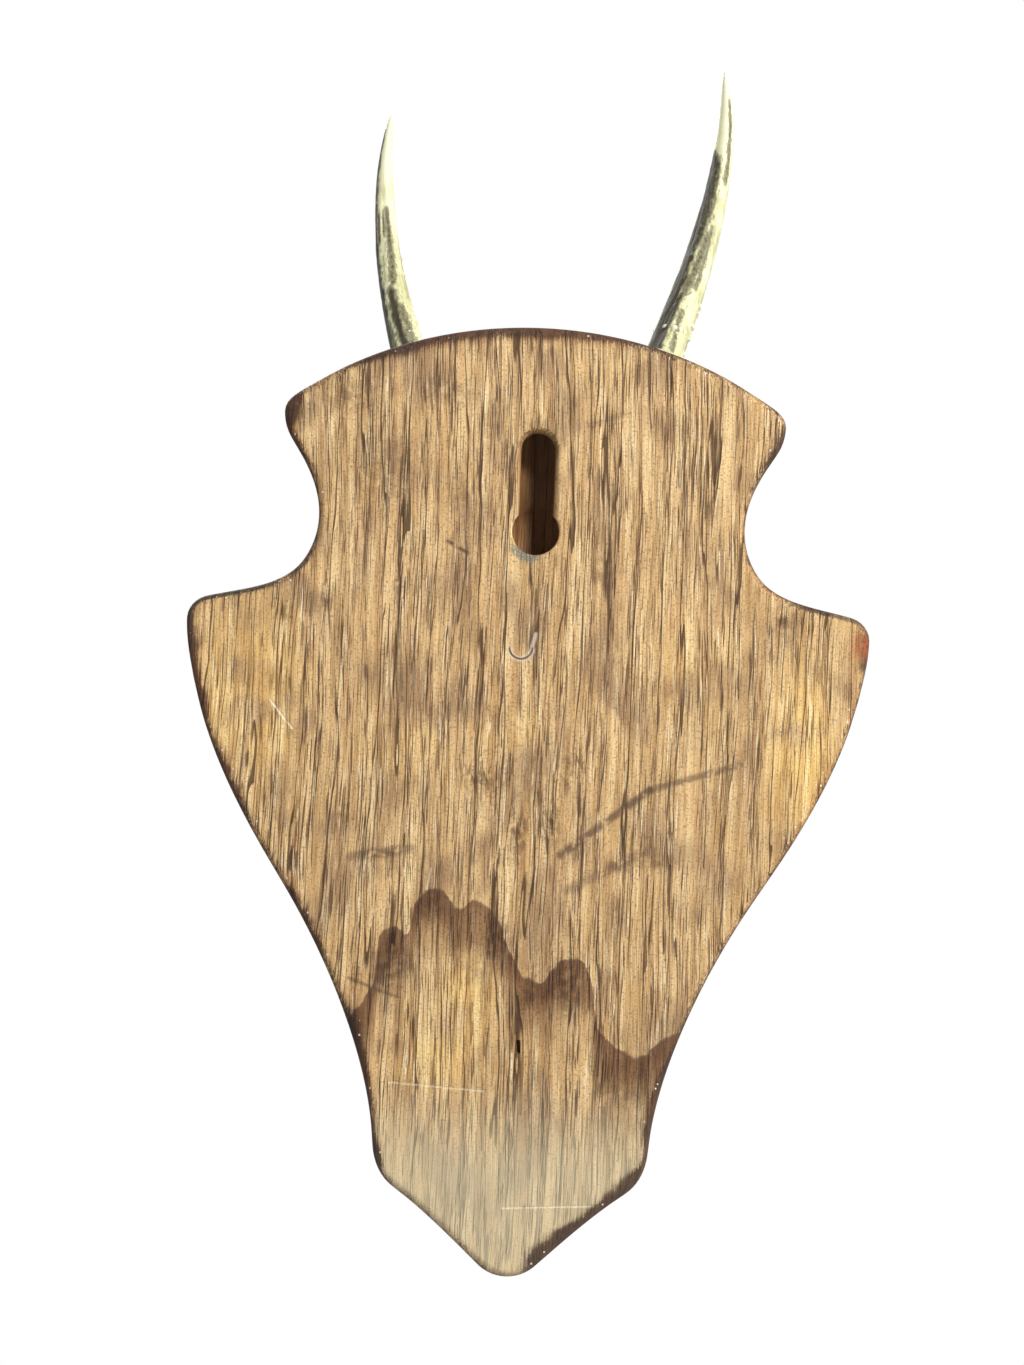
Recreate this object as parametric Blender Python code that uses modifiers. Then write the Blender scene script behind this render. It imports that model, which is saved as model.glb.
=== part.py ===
"""Deer antlers on a wall shield: a pair of single spikes on their sawn skull plate, screwed to a wooden board.

The frame: +Z is up, the back of the board lies in the plane y = 0 and the antlers stand out towards -Y.
The origin is where the hanger sits, the middle of the round top end of the keyhole slot.
+X is the deer's left. All sizes are in metres.
"""

import math

import bmesh
import bpy
from mathutils import Matrix, Vector

# ---------------------------------------------------------------- driving dimensions

MM = 0.001
GAP = 0.3 * MM  # left between pieces that touch

# The board: a sawn shield of 19 mm hardwood, nominally 200 by 280 mm.
BOARD_THICK = 19 * MM
BOARD_MIDDLE_X = 1.2 * MM  # the keyhole was cut this far off the board's middle line
APEX_Z = 35.9 * MM  # the highest point of the board, above the hanger
BACK_ROUND = 2.5 * MM
FRONT_COVE = 6 * MM
COVE_PROFILE = 0.12  # of a bevel: 0.5 is round, 0.25 is straight, less is hollow

# Half of the outline: half width and drop below the apex in mm, and the heading there in degrees,
# turned down from straight outwards. Each stretch between two of them is close to a circular arc.
HALF_OUTLINE = (
    (0.0, 0.0, 0),  # apex of the top edge
    (66.5, 19.2, 33),  # where the top edge meets the horn
    (73.8, 27.0, 90),  # tip of the horn
    (71.9, 34.2, 120),
    (66.9, 42.4, 118),
    (62.7, 57.2, 90),  # deepest in the notch
    (66.9, 70.7, 55),
    (77.5, 77.9, 19),
    (94.8, 82.1, 14),
    (100.5, 89.0, 90),  # shoulder
    (97.6, 107.6, 103),
    (71.0, 163.7, 123),
    (50.6, 202.4, 112),
    (40.6, 241.5, 94),
    (34.2, 254.0, 145),  # lower corner
    (8.4, 276.1, 137),
    (0.0, 279.4, 180),  # tip
)
STEPS_PER_STRETCH = 6

# The keyhole: a round entry below, and a slot up to the hanger with a wider groove behind its lip.
ENTRY_DROP = 24.1 * MM
ENTRY_RADIUS = 7.0 * MM
SLOT_RADIUS = 5.0 * MM
SLOT_EASE = 1.3 * MM  # the slot's lip is eased this far back
LIP_THICK = 5.0 * MM
GROOVE_RADIUS = 6.7 * MM
KEYHOLE_DEPTH = 11.5 * MM

# The split in the lower part of the back.
SPLIT_DROP = 211.4 * MM
SPLIT_WIDE = 1.2 * MM
SPLIT_TALL = 4.3 * MM
SPLIT_DEEP = 4.0 * MM

# The skull plate: the top of the skull, sawn off flat, with its two pedicles.
PLATE_FACE_Y = -BOARD_THICK - GAP
PLATE_CENTRE_Z = APEX_Z - 42 * MM
DOME_HALF = Vector((50, 22, 36)) * MM
DOME_SINK = 9 * MM  # the sawn face cuts the dome this far in front of its centre
BONE_THICK = 5 * MM
ORBIT_X = 42 * MM  # the saw passed through the eye sockets, which leaves a scallop on each side
ORBIT_DROP = 21 * MM
ORBIT_RADIUS = 15 * MM
PEDICLE_LENGTH = 24 * MM
PEDICLE_RADIUS = 7.2 * MM

# The antlers. A path is a cubic Bezier curve from the seal, where the antler meets its pedicle, to the tip:
# four points as distance from the board's middle, y, and height above the apex, in mm.
ANTLERS = {
    "antler_left": {
        "path": ((38.2, -37.0, -9.5), (45.9, -56.0, 15.7), (54.5, -70.9, 45.5), (49.9, -72.0, 78.5)),
        "beam_radius": 5.7 * MM,
        "burr_radius": 9.4 * MM,
    },
    "antler_right": {
        "path": ((-36.9, -37.0, -8.9), (-46.4, -59.4, 18.1), (-63.6, -79.5, 62.2), (-58.9, -80.1, 98.9)),
        "beam_radius": 6.5 * MM,
        "burr_radius": 10.4 * MM,
    },
}
BURR_MIDDLE = 3.2 * MM  # from the seal, along the beam
BURR_SPREAD = 2.0 * MM
TAPER_LOSS = 0.5  # a beam's radius goes with (1 - TAPER_LOSS * s) * (1 - s**TIP_POWER) ** 0.5, with s from 0 to 1
TIP_POWER = 4
TIP_RADIUS = 0.35 * MM

# The screws: slotted round heads, (distance from the board's middle, drop below the apex).
SCREWS = {
    "screw_top": (0.0, 22 * MM),
    "screw_left": (17 * MM, 59 * MM),
    "screw_right": (-17 * MM, 59 * MM),
}
HEAD_RADIUS = 3.9 * MM
HEAD_HEIGHT = 2.7 * MM
SHANK_RADIUS = 1.9 * MM
SCREW_IN_BOARD = 12 * MM
SCREW_SLOT = 1.0 * MM
SEAT_RADIUS = 4.6 * MM
SEAT_DEPTH = 1.4 * MM  # below the bone's surface at the middle of the head
ROUND_SIDES = 16

FINISHES = {
    "board": ((0.36, 0.22, 0.10), 0.75, 0.0),
    "bone": ((0.72, 0.62, 0.45), 0.6, 0.0),
    "antler": ((0.66, 0.58, 0.40), 0.5, 0.0),
    "screw": ((0.62, 0.50, 0.28), 0.35, 1.0),
}


# ---------------------------------------------------------------- helpers


def make_collection(name):
    """A collection of the scene, for the parts or for the cutters."""
    collection = bpy.data.collections.new(name)
    bpy.context.scene.collection.children.link(collection)
    return collection


def make_material(name):
    """A Principled material with the colour, roughness and metallic value in FINISHES."""
    colour, roughness, metallic = FINISHES[name]
    material = bpy.data.materials.new(name)
    material.use_nodes = True
    shader = material.node_tree.nodes["Principled BSDF"]
    shader.inputs["Base Color"].default_value = (*colour, 1.0)
    shader.inputs["Roughness"].default_value = roughness
    shader.inputs["Metallic"].default_value = metallic
    return material


def as_part(piece, material):
    """Gives a finished piece its one material and smooth shading with sharp corners kept."""
    piece.data.materials.clear()
    piece.data.materials.append(material)
    piece.data.shade_smooth()
    piece.data.set_sharp_from_angle(angle=math.radians(35))


def as_cutter(piece):
    """Hides a cutter from the render and draws it as wire."""
    piece.hide_render = True
    piece.display_type = "WIRE"
    return piece


def boolean(piece, tool, operation="DIFFERENCE"):
    """Cuts a tool out of a piece, or joins it on."""
    modifier = piece.modifiers.new(tool.name, "BOOLEAN")
    modifier.operation = operation
    modifier.solver = "EXACT"
    modifier.object = tool


def mesh_from(source, collection):
    """Turns a curve or a piece with modifiers into a plain mesh object of the same name and place."""
    bpy.context.view_layer.update()
    evaluated = source.evaluated_get(bpy.context.evaluated_depsgraph_get())
    mesh = bpy.data.meshes.new_from_object(evaluated)
    work = bmesh.new()
    work.from_mesh(mesh)
    bmesh.ops.remove_doubles(work, verts=work.verts, dist=1e-6)
    work.to_mesh(mesh)
    work.free()
    name, place = source.name, source.matrix_world.copy()
    bpy.data.objects.remove(source)
    piece = bpy.data.objects.new(name, mesh)
    piece.matrix_world = place
    collection.objects.link(piece)
    return piece


def curve_object(name, dimensions, collection):
    """An empty curve object with filled ends or faces still to be chosen."""
    curve = bpy.data.curves.new(name, "CURVE")
    curve.dimensions = dimensions
    piece = bpy.data.objects.new(name, curve)
    collection.objects.link(piece)
    return piece


def facing_back(y, x=0.0, z=0.0):
    """A place whose local X is X, local Y is Z and local Z is -Y, so flat outlines stand against the wall."""
    return Matrix.Translation((x, y, z)) @ Matrix.Rotation(math.radians(90), 4, "X")


def disc(name, radius, x, z, y_back, y_front, collection):
    """A cylinder along Y from y_back to y_front, which is further from the wall."""
    work = bmesh.new()
    bmesh.ops.create_cone(
        work, cap_ends=True, segments=24, radius1=radius, radius2=radius, depth=y_back - y_front
    )
    mesh = bpy.data.meshes.new(name)
    work.to_mesh(mesh)
    work.free()
    piece = bpy.data.objects.new(name, mesh)
    piece.matrix_world = facing_back((y_back + y_front) / 2, x, z)
    collection.objects.link(piece)
    return piece


def block(name, low, high, collection):
    """A box between two corners."""
    low, high = Vector(low), Vector(high)
    work = bmesh.new()
    bmesh.ops.create_cube(work, size=1.0)
    bmesh.ops.scale(work, vec=high - low, verts=work.verts)
    bmesh.ops.translate(work, vec=(low + high) / 2, verts=work.verts)
    mesh = bpy.data.meshes.new(name)
    work.to_mesh(mesh)
    work.free()
    piece = bpy.data.objects.new(name, mesh)
    collection.objects.link(piece)
    return piece


# ---------------------------------------------------------------- the board


def arc_handle(chord, turn):
    """Length of the Bezier handles that make a stretch of this chord and turn an arc of a circle."""
    if turn < 1e-3:
        return chord / 3
    return chord * 2 / 3 * math.tan(turn / 4) / math.sin(turn / 2)


def whole_outline():
    """The outline's points as (position, direction), clockwise from the apex, with the other half mirrored."""
    right = [
        (Vector((wide, -drop, 0)) * MM, Vector((math.cos(math.radians(h)), -math.sin(math.radians(h)), 0)))
        for wide, drop, h in HALF_OUTLINE
    ]
    left = [(Vector((-p.x, p.y, 0)), Vector((d.x, -d.y, 0))) for p, d in reversed(right[1:-1])]
    return right + left


def shield_outline(collection):
    """The shield as a flat 2D curve with its apex at the local origin."""
    piece = curve_object("shield_board", "2D", collection)
    curve = piece.data
    curve.fill_mode = "BOTH"
    curve.resolution_u = STEPS_PER_STRETCH
    curve.extrude = BOARD_THICK / 2
    points = whole_outline()
    spline = curve.splines.new("BEZIER")
    spline.bezier_points.add(len(points) - 1)
    spline.use_cyclic_u = True
    count = len(points)
    for i, (place, heading) in enumerate(points):
        after, before = points[(i + 1) % count], points[i - 1]
        ahead = arc_handle((after[0] - place).length, heading.angle(after[1]))
        behind = arc_handle((place - before[0]).length, heading.angle(before[1]))
        knot = spline.bezier_points[i]
        knot.co = place
        knot.handle_left_type = knot.handle_right_type = "FREE"
        knot.handle_right = place + heading * ahead
        knot.handle_left = place - heading * behind
    piece.matrix_world = facing_back(-BOARD_THICK / 2, BOARD_MIDDLE_X, APEX_Z)
    return piece


def shape_rim(piece, local_z, width, segments, profile):
    """Makes one face of the slab a single polygon, then rounds or hollows its rim."""
    work = bmesh.new()
    work.from_mesh(piece.data)
    flat = [f for f in work.faces if all(abs(v.co.z - local_z) < 1e-6 for v in f.verts)]
    bmesh.ops.dissolve_faces(work, faces=flat)
    rim = [e for e in work.edges if all(abs(v.co.z - local_z) < 1e-6 for v in e.verts)]
    bmesh.ops.bevel(
        work, geom=rim, offset=width, segments=segments, profile=profile, affect="EDGES", clamp_overlap=False
    )
    work.to_mesh(piece.data)
    work.free()


def keyhole_outline(name, radius, y_wide, depth, ease, collection):
    """A slot with a round top end about the hanger, as a slab from y_wide inwards; ease tapers its rim."""
    piece = curve_object(name, "2D", collection)
    curve = piece.data
    curve.fill_mode = "BOTH"
    curve.extrude = depth / 2
    curve.bevel_depth = ease
    curve.bevel_resolution = 0
    half_turns = 12
    spline = curve.splines.new("POLY")
    spline.points.add(half_turns + 2)
    arc = [math.pi * i / half_turns for i in range(half_turns + 1)]
    outline = [(radius * math.cos(a), radius * math.sin(a)) for a in arc]
    outline += [(-radius, -ENTRY_DROP), (radius, -ENTRY_DROP)]
    for point, (x, z) in zip(spline.points, outline):
        point.co = (x, z, 0, 1)
    spline.use_cyclic_u = True
    piece.matrix_world = facing_back(y_wide - depth / 2)
    return as_cutter(mesh_from(piece, collection))


def shield_board(parts, cutters, material):
    """The board, with its rims shaped and the keyhole, the split and the screw holes cut."""
    board = mesh_from(shield_outline(parts), parts)
    shape_rim(board, -BOARD_THICK / 2, BACK_ROUND, 3, 0.5)
    shape_rim(board, BOARD_THICK / 2, FRONT_COVE, 4, COVE_PROFILE)

    clear = 2 * MM
    slot = keyhole_outline("cut_slot", SLOT_RADIUS, clear, LIP_THICK + clear + MM, 0, cutters)
    groove = keyhole_outline("cut_groove", GROOVE_RADIUS, -LIP_THICK, KEYHOLE_DEPTH - LIP_THICK, 0, cutters)
    lip = keyhole_outline("cut_lip", SLOT_RADIUS, clear, clear, SLOT_EASE, cutters)
    entry = disc("cut_entry", ENTRY_RADIUS, 0, -ENTRY_DROP, clear, -KEYHOLE_DEPTH, cutters)
    split_z = APEX_Z - SPLIT_DROP
    split = block(
        "cut_split",
        (-SPLIT_WIDE / 2, -SPLIT_DEEP, split_z - SPLIT_TALL / 2),
        (SPLIT_WIDE / 2, clear, split_z + SPLIT_TALL / 2),
        cutters,
    )
    for tool in (slot, groove, lip, entry, split):
        boolean(board, as_cutter(tool))
    for name, (x, drop) in SCREWS.items():
        hole = disc(
            f"cut_board_{name}",
            SHANK_RADIUS + GAP,
            BOARD_MIDDLE_X + x,
            APEX_Z - drop,
            PLATE_FACE_Y + SCREW_IN_BOARD + MM,
            PLATE_FACE_Y - clear,
            cutters,
        )
        boolean(board, as_cutter(hole))
    as_part(board, material)


# ---------------------------------------------------------------- the antlers


def bezier_point(path, t):
    """The point at t, from 0 to 1, on a cubic Bezier path, and its direction there."""
    a, b, c, d = path
    s = 1 - t
    place = s**3 * a + 3 * s * s * t * b + 3 * s * t * t * c + t**3 * d
    heading = s * s * (b - a) + 2 * s * t * (c - b) + t * t * (d - c)
    return place, heading.normalized()


def antler_path(name):
    """The four control points of an antler's path in the part's frame."""
    return [Vector((BOARD_MIDDLE_X + x * MM, y * MM, APEX_Z + z * MM)) for x, y, z in ANTLERS[name]["path"]]


def antler_radius(along, length, beam_radius, burr_radius):
    """Radius at a distance from the seal: a beam that tapers to the tip, and the ring of the burr on it."""
    s = along / length
    beam = beam_radius * (1 - TAPER_LOSS * s) * max(1 - s**TIP_POWER, 0) ** 0.5
    burr = (burr_radius - beam_radius) * math.exp(-(((along - BURR_MIDDLE) / BURR_SPREAD) ** 2))
    return max(beam + burr, TIP_RADIUS)


def antler_steps():
    """Where along the path, from 0 to 1, the rings are: close together at the burr and at the tip."""
    burr = [0.0, 0.012, 0.022, 0.033, 0.045, 0.058, 0.075]
    beam = [0.11 + 0.06 * i for i in range(14)]
    tip = [0.93, 0.955, 0.975, 0.989, 0.997, 1.0]
    return burr + beam + tip


def antler(name, parts, material):
    """One antler from its seal to its tip: a tube along the path with a radius at each ring."""
    sizes = ANTLERS[name]
    path = antler_path(name)
    fine = [bezier_point(path, i / 200)[0] for i in range(201)]
    length = sum((b - a).length for a, b in zip(fine, fine[1:]))
    piece = curve_object(name, "3D", parts)
    curve = piece.data
    curve.bevel_depth = sizes["beam_radius"]
    curve.bevel_resolution = 5
    curve.use_fill_caps = True
    steps = antler_steps()
    spline = curve.splines.new("POLY")
    spline.points.add(len(steps) - 1)
    along = 0.0
    last = path[0]
    for point, t in zip(spline.points, steps):
        place = bezier_point(path, t)[0]
        along += (place - last).length
        last = place
        point.co = (*place, 1)
        radius = antler_radius(along, length, sizes["beam_radius"], sizes["burr_radius"])
        point.radius = radius / sizes["beam_radius"]
    as_part(mesh_from(piece, parts), material)


# ---------------------------------------------------------------- the skull plate


def dome(name, half, collection):
    """An ellipsoid whose centre lies behind the sawn face."""
    work = bmesh.new()
    bmesh.ops.create_uvsphere(work, u_segments=24, v_segments=14, radius=1.0)
    bmesh.ops.scale(work, vec=half, verts=work.verts)
    mesh = bpy.data.meshes.new(name)
    work.to_mesh(mesh)
    work.free()
    piece = bpy.data.objects.new(name, mesh)
    piece.location = (BOARD_MIDDLE_X, PLATE_FACE_Y + DOME_SINK, PLATE_CENTRE_Z)
    collection.objects.link(piece)
    return piece


def dome_height(x, z):
    """The y of the dome's outer surface at a point of the plate."""
    across = (x - BOARD_MIDDLE_X) / DOME_HALF.x
    up = (z - PLATE_CENTRE_Z) / DOME_HALF.z
    return PLATE_FACE_Y + DOME_SINK - DOME_HALF.y * math.sqrt(1 - across**2 - up**2)


def pedicle(name, cutters):
    """The bone stump under one antler, running back from the seal along the beam's own line."""
    seal, heading = bezier_point(antler_path(name), 0.0)
    piece = curve_object(f"pedicle_{name}", "3D", cutters)
    curve = piece.data
    curve.bevel_depth = PEDICLE_RADIUS
    curve.bevel_resolution = 5
    curve.use_fill_caps = True
    spline = curve.splines.new("POLY")
    stations = ((GAP, 1.0), (4 * MM, 0.94), (10 * MM, 0.98), (16 * MM, 1.15), (PEDICLE_LENGTH, 1.3))
    spline.points.add(len(stations) - 1)
    for point, (back, swell) in zip(spline.points, stations):
        point.co = (*(seal - heading * back), 1)
        point.radius = swell
    return as_cutter(mesh_from(piece, cutters))


def skull_plate(parts, cutters, material):
    """The sawn top of the skull: a bone shell with two pedicles, scalloped where the eye sockets were."""
    plate = dome("skull_plate", DOME_HALF, parts)
    for name in ANTLERS:
        boolean(plate, pedicle(name, cutters), "UNION")
    hollow_half = DOME_HALF - Vector((1, 1, 1)) * BONE_THICK
    boolean(plate, as_cutter(dome("cut_hollow", hollow_half, cutters)))
    wide = 100 * MM
    behind = block(
        "cut_sawn_face", (-wide, PLATE_FACE_Y, -wide), (wide, PLATE_FACE_Y + wide, wide), cutters
    )
    boolean(plate, as_cutter(behind))
    for side in (-1, 1):
        orbit = disc(
            f"cut_orbit_{'left' if side > 0 else 'right'}",
            ORBIT_RADIUS,
            BOARD_MIDDLE_X + side * ORBIT_X,
            PLATE_CENTRE_Z - ORBIT_DROP,
            PLATE_FACE_Y + MM,
            PLATE_FACE_Y - DOME_HALF.y,
            cutters,
        )
        boolean(plate, as_cutter(orbit))
    for name, (x, drop) in SCREWS.items():
        x, z = BOARD_MIDDLE_X + x, APEX_Z - drop
        seat_y = dome_height(x, z) + SEAT_DEPTH
        seat = disc(f"cut_seat_{name}", SEAT_RADIUS, x, z, seat_y, seat_y - 2 * SEAT_RADIUS, cutters)
        hole = disc(f"cut_bone_{name}", SHANK_RADIUS + GAP, x, z, PLATE_FACE_Y + MM, seat_y - MM, cutters)
        boolean(plate, as_cutter(seat))
        boolean(plate, as_cutter(hole))
    as_part(plate, material)


# ---------------------------------------------------------------- the screws


def screw(name, parts, cutters, material):
    """A slotted round-head screw along Y, its head on the seat in the bone and its point in the board."""
    x, drop = SCREWS[name]
    x, z = BOARD_MIDDLE_X + x, APEX_Z - drop
    under_head_y = dome_height(x, z) + SEAT_DEPTH - GAP
    length = PLATE_FACE_Y + SCREW_IN_BOARD - under_head_y
    dome_steps = 4
    head = [
        (HEAD_RADIUS * math.sin(a), HEAD_HEIGHT * math.cos(a))
        for a in (math.pi / 2 * i / dome_steps for i in range(dome_steps + 1))
    ]
    shank = [(SHANK_RADIUS, 0.0), (SHANK_RADIUS, -length + 2 * SHANK_RADIUS), (0.0, -length)]
    profile = head + shank
    mesh = bpy.data.meshes.new(name)
    mesh.from_pydata([(r, 0, h) for r, h in profile], [(i, i + 1) for i in range(len(profile) - 1)], [])
    piece = bpy.data.objects.new(name, mesh)
    piece.matrix_world = facing_back(under_head_y, x, z)
    parts.objects.link(piece)
    turn = piece.modifiers.new("turn", "SCREW")
    turn.axis = "Z"
    turn.steps = turn.render_steps = ROUND_SIDES
    turn.use_merge_vertices = True
    turn.merge_threshold = 0.00001
    piece = mesh_from(piece, parts)
    top_y = under_head_y - HEAD_HEIGHT
    slot = block(
        f"cut_driver_{name}",
        (x - 2 * HEAD_RADIUS, top_y - MM, z - SCREW_SLOT / 2),
        (x + 2 * HEAD_RADIUS, top_y + 1.2 * MM, z + SCREW_SLOT / 2),
        cutters,
    )
    boolean(piece, as_cutter(slot))
    as_part(piece, material)


# ---------------------------------------------------------------- the whole object


def main():
    """Builds every piece in its own collection."""
    for old in list(bpy.data.objects):
        bpy.data.objects.remove(old)
    parts = make_collection("antler_mount")
    cutters = make_collection("cutters")
    shield_board(parts, cutters, make_material("board"))
    skull_plate(parts, cutters, make_material("bone"))
    antler_material = make_material("antler")
    for name in ANTLERS:
        antler(name, parts, antler_material)
    screw_material = make_material("screw")
    for name in SCREWS:
        screw(name, parts, cutters, screw_material)


main()
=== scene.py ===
# %% [markdown]
# # Deer antlers on a wall shield
#
# A young deer's antlers on their sawn skull plate, screwed to a shield-shaped board, seen from the wall's
# side. The back of the board is bare hardwood with a keyhole for a wall screw. The CAD model gives every
# piece its size and place. This script gives each one its fine surface and its finish.
#
# The frame: +Z is up, the wall is the plane y = 0, the room lies towards -Y, and +X is the deer's left.

# %% Load the frame
import math
from functools import partial

import bpy
import numpy as np
from mathutils import Matrix, Vector


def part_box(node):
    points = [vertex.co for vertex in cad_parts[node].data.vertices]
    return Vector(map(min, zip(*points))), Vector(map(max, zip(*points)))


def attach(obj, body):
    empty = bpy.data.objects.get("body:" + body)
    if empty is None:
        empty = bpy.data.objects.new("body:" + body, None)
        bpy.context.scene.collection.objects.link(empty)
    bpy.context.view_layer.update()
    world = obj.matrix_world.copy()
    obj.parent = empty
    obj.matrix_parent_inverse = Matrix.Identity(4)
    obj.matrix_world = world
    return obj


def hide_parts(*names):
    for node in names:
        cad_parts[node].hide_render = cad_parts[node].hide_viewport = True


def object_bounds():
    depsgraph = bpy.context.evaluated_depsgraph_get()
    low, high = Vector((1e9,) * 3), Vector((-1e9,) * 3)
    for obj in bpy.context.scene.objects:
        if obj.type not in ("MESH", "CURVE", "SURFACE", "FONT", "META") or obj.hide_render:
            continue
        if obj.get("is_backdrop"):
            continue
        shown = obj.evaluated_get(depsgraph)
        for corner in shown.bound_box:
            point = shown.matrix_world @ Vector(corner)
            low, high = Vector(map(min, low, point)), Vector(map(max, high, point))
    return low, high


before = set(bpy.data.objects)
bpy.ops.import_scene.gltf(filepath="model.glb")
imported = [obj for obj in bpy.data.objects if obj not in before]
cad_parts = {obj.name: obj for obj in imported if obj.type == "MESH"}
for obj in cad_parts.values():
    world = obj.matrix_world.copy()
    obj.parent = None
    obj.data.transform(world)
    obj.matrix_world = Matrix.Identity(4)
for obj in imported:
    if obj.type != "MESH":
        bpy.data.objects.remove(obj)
cad_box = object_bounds()
MM = 0.001
print("pieces:", sorted(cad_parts))

# %% [markdown]
# The board is the one piece that everything else is measured from, so its box comes first. The board is
# alike on both sides, so its middle line is the middle of its box. Heights are counted down from its apex.

# %% Where the board is
board_low, board_high = (np.array(corner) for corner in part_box("shield_board"))
MIDDLE_X = (board_low[0] + board_high[0]) / 2
APEX_Z = board_high[2]
BOARD_THICK = board_high[1] - board_low[1]
BOARD_TALL = board_high[2] - board_low[2]
print(f"board: {BOARD_THICK / MM:.1f} mm thick, {BOARD_TALL / MM:.1f} mm tall, apex z = {APEX_Z / MM:.1f} mm")

# %% [markdown]
# ## Camera, light and floor
#
# The camera stands square on to the back of the board and about two degrees out of upright. The lens is
# chosen so that the height of the view is right at the plane of the back.

# %% Camera
CAMERA_FAR = 0.65
VIEW_TALL = 0.4004
ROLL = math.radians(2.0)
LOOK_AT = Vector((MIDDLE_X + 4.2 * MM, 0.0, APEX_Z - 104.6 * MM))

camera = bpy.data.objects.new("camera", bpy.data.cameras.new("camera"))
camera.data.sensor_width = 36.0
camera.data.lens = camera.data.sensor_width * CAMERA_FAR / VIEW_TALL
camera.matrix_world = (
    Matrix.Translation(LOOK_AT + Vector((0, CAMERA_FAR, 0)))
    @ Matrix.Rotation(math.pi, 4, "Z")
    @ Matrix.Rotation(math.pi / 2, 4, "X")
    @ Matrix.Rotation(ROLL, 4, "Z")
)
bpy.context.scene.collection.objects.link(camera)
bpy.context.scene.camera = camera
print(f"lens {camera.data.lens:.1f} mm")

# %% [markdown]
# There are four soft lights. The key stands high on the camera's right and gives the antlers a bright side
# and a dark side. A low one on the same side skims the back of the board and shows its relief. A weak fill
# on the left keeps the dark side readable, and one in front lights what the main camera does not see. The
# world is white to the eye and much dimmer as a light, so that it does not wash the shading out.

# %% Lights and world
scene = bpy.context.scene
scene.view_settings.view_transform = "Standard"


def soft_light(name, place, size, watts, colour=(1.0, 1.0, 1.0)):
    """A square area light aimed at the middle of the board."""
    lamp = bpy.data.lights.new(name, "AREA")
    lamp.size, lamp.energy, lamp.color = size, watts, colour
    light = bpy.data.objects.new(name, lamp)
    light.location = place
    light.rotation_euler = (LOOK_AT - light.location).to_track_quat("-Z", "Y").to_euler()
    scene.collection.objects.link(light)


WARM, COOL = (1.0, 0.99, 0.95), (0.92, 0.96, 1.0)
WORLD_LIGHT = 0.28
soft_light("key", (-0.60, 0.85, 0.80), 0.22, 19.5, WARM)
soft_light("side", (-1.3, 0.22, 0.25), 0.22, 10.0, WARM)
soft_light("fill", (0.9, 0.9, 0.1), 0.8, 1.4, COOL)
soft_light("front", (0.6, -1.1, 0.8), 0.7, 20.0)

world = bpy.data.worlds.new("studio")
world.use_nodes = True
scene.world = world
sky, path = world.node_tree.nodes["Background"], world.node_tree.nodes.new("ShaderNodeLightPath")
glow = world.node_tree.nodes.new("ShaderNodeMapRange")
glow.inputs["To Min"].default_value = WORLD_LIGHT
glow.inputs["To Max"].default_value = 1.0
world.node_tree.links.new(path.outputs["Is Camera Ray"], glow.inputs["Value"])
world.node_tree.links.new(glow.outputs["Result"], sky.inputs["Strength"])
sky.inputs["Color"].default_value = (1.0, 1.0, 1.0, 1.0)

# %% [markdown]
# The mount hangs, so the floor lies well below it, out of the main view.

# %% Floor
FLOOR_DROP = 0.5
FLOOR_HALF = 1.3
floor_z = board_low[2] - FLOOR_DROP
floor_mesh = bpy.data.meshes.new("floor")
floor_corners = np.array([(-1, -1), (1, -1), (1, 1), (-1, 1)]) * FLOOR_HALF
floor_mesh.from_pydata([(x, y, floor_z) for x, y in floor_corners.tolist()], [], [(0, 1, 2, 3)])
floor = bpy.data.objects.new("floor", floor_mesh)
scene.collection.objects.link(floor)
floor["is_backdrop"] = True

# %% [markdown]
# ## Tools
#
# Colours are written as the eye sees them, in sRGB hex, and a shader wants linear light, so one function
# turns the one into the other. A second one adds a node, and a third fills a node's inputs: what is an
# output gets linked, anything else is set. They keep the materials below short enough to read.


# %% Colour and node helpers
def linear(hex_colour):
    """Linear RGBA of an sRGB hex: c/12.92 up to 0.04045, and ((c + 0.055)/1.055)^2.4 above it."""
    channels = [int(hex_colour[i : i + 2], 16) / 255 for i in (1, 3, 5)]
    return (*[c / 12.92 if c <= 0.04045 else ((c + 0.055) / 1.055) ** 2.4 for c in channels], 1.0)


def fill(tree, node, inputs):
    """Fills inputs of a node: an output of another node gets linked, anything else is set as the value."""
    for key, value in dict(inputs).items():
        if isinstance(value, bpy.types.NodeSocket):
            tree.links.new(value, node.inputs[key])
        else:
            node.inputs[key].default_value = value


def add(tree, kind, inputs=(), output=0, ramp=(), **settings):
    """Adds one node and returns one of its outputs. ramp fills a colour ramp or a float curve."""
    made = tree.nodes.new("ShaderNode" + kind)
    for name, value in settings.items():
        setattr(made, name, value)
    if ramp and kind == "ValToRGB":
        stops = made.color_ramp.elements
        for _ in ramp[2:]:
            stops.new(0.5)
        for stop, (place, colour) in zip(stops, ramp):
            stop.position, stop.color = place, linear(colour)
    if ramp and kind == "FloatCurve":
        knots = made.mapping.curves[0].points
        for _ in ramp[2:]:
            knots.new(0.5, 0.5)
        for knot, place in zip(knots, ramp):
            knot.location = place
        made.mapping.update()
    fill(tree, made, inputs)
    return made.outputs[output]


def new_material(name):
    """An empty material, a function that adds nodes to it, and one that fills its Principled shader."""
    material = bpy.data.materials.new(name)
    material.use_nodes = True
    tree = material.node_tree
    return material, partial(add, tree), partial(fill, tree, tree.nodes["Principled BSDF"])


# %% [markdown]
# Wood, horn and bone are all irregular. Their shapes below share one smooth noise, made in numpy so that a
# whole surface is worked out at once, and the same numbers come out on every run.


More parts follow.
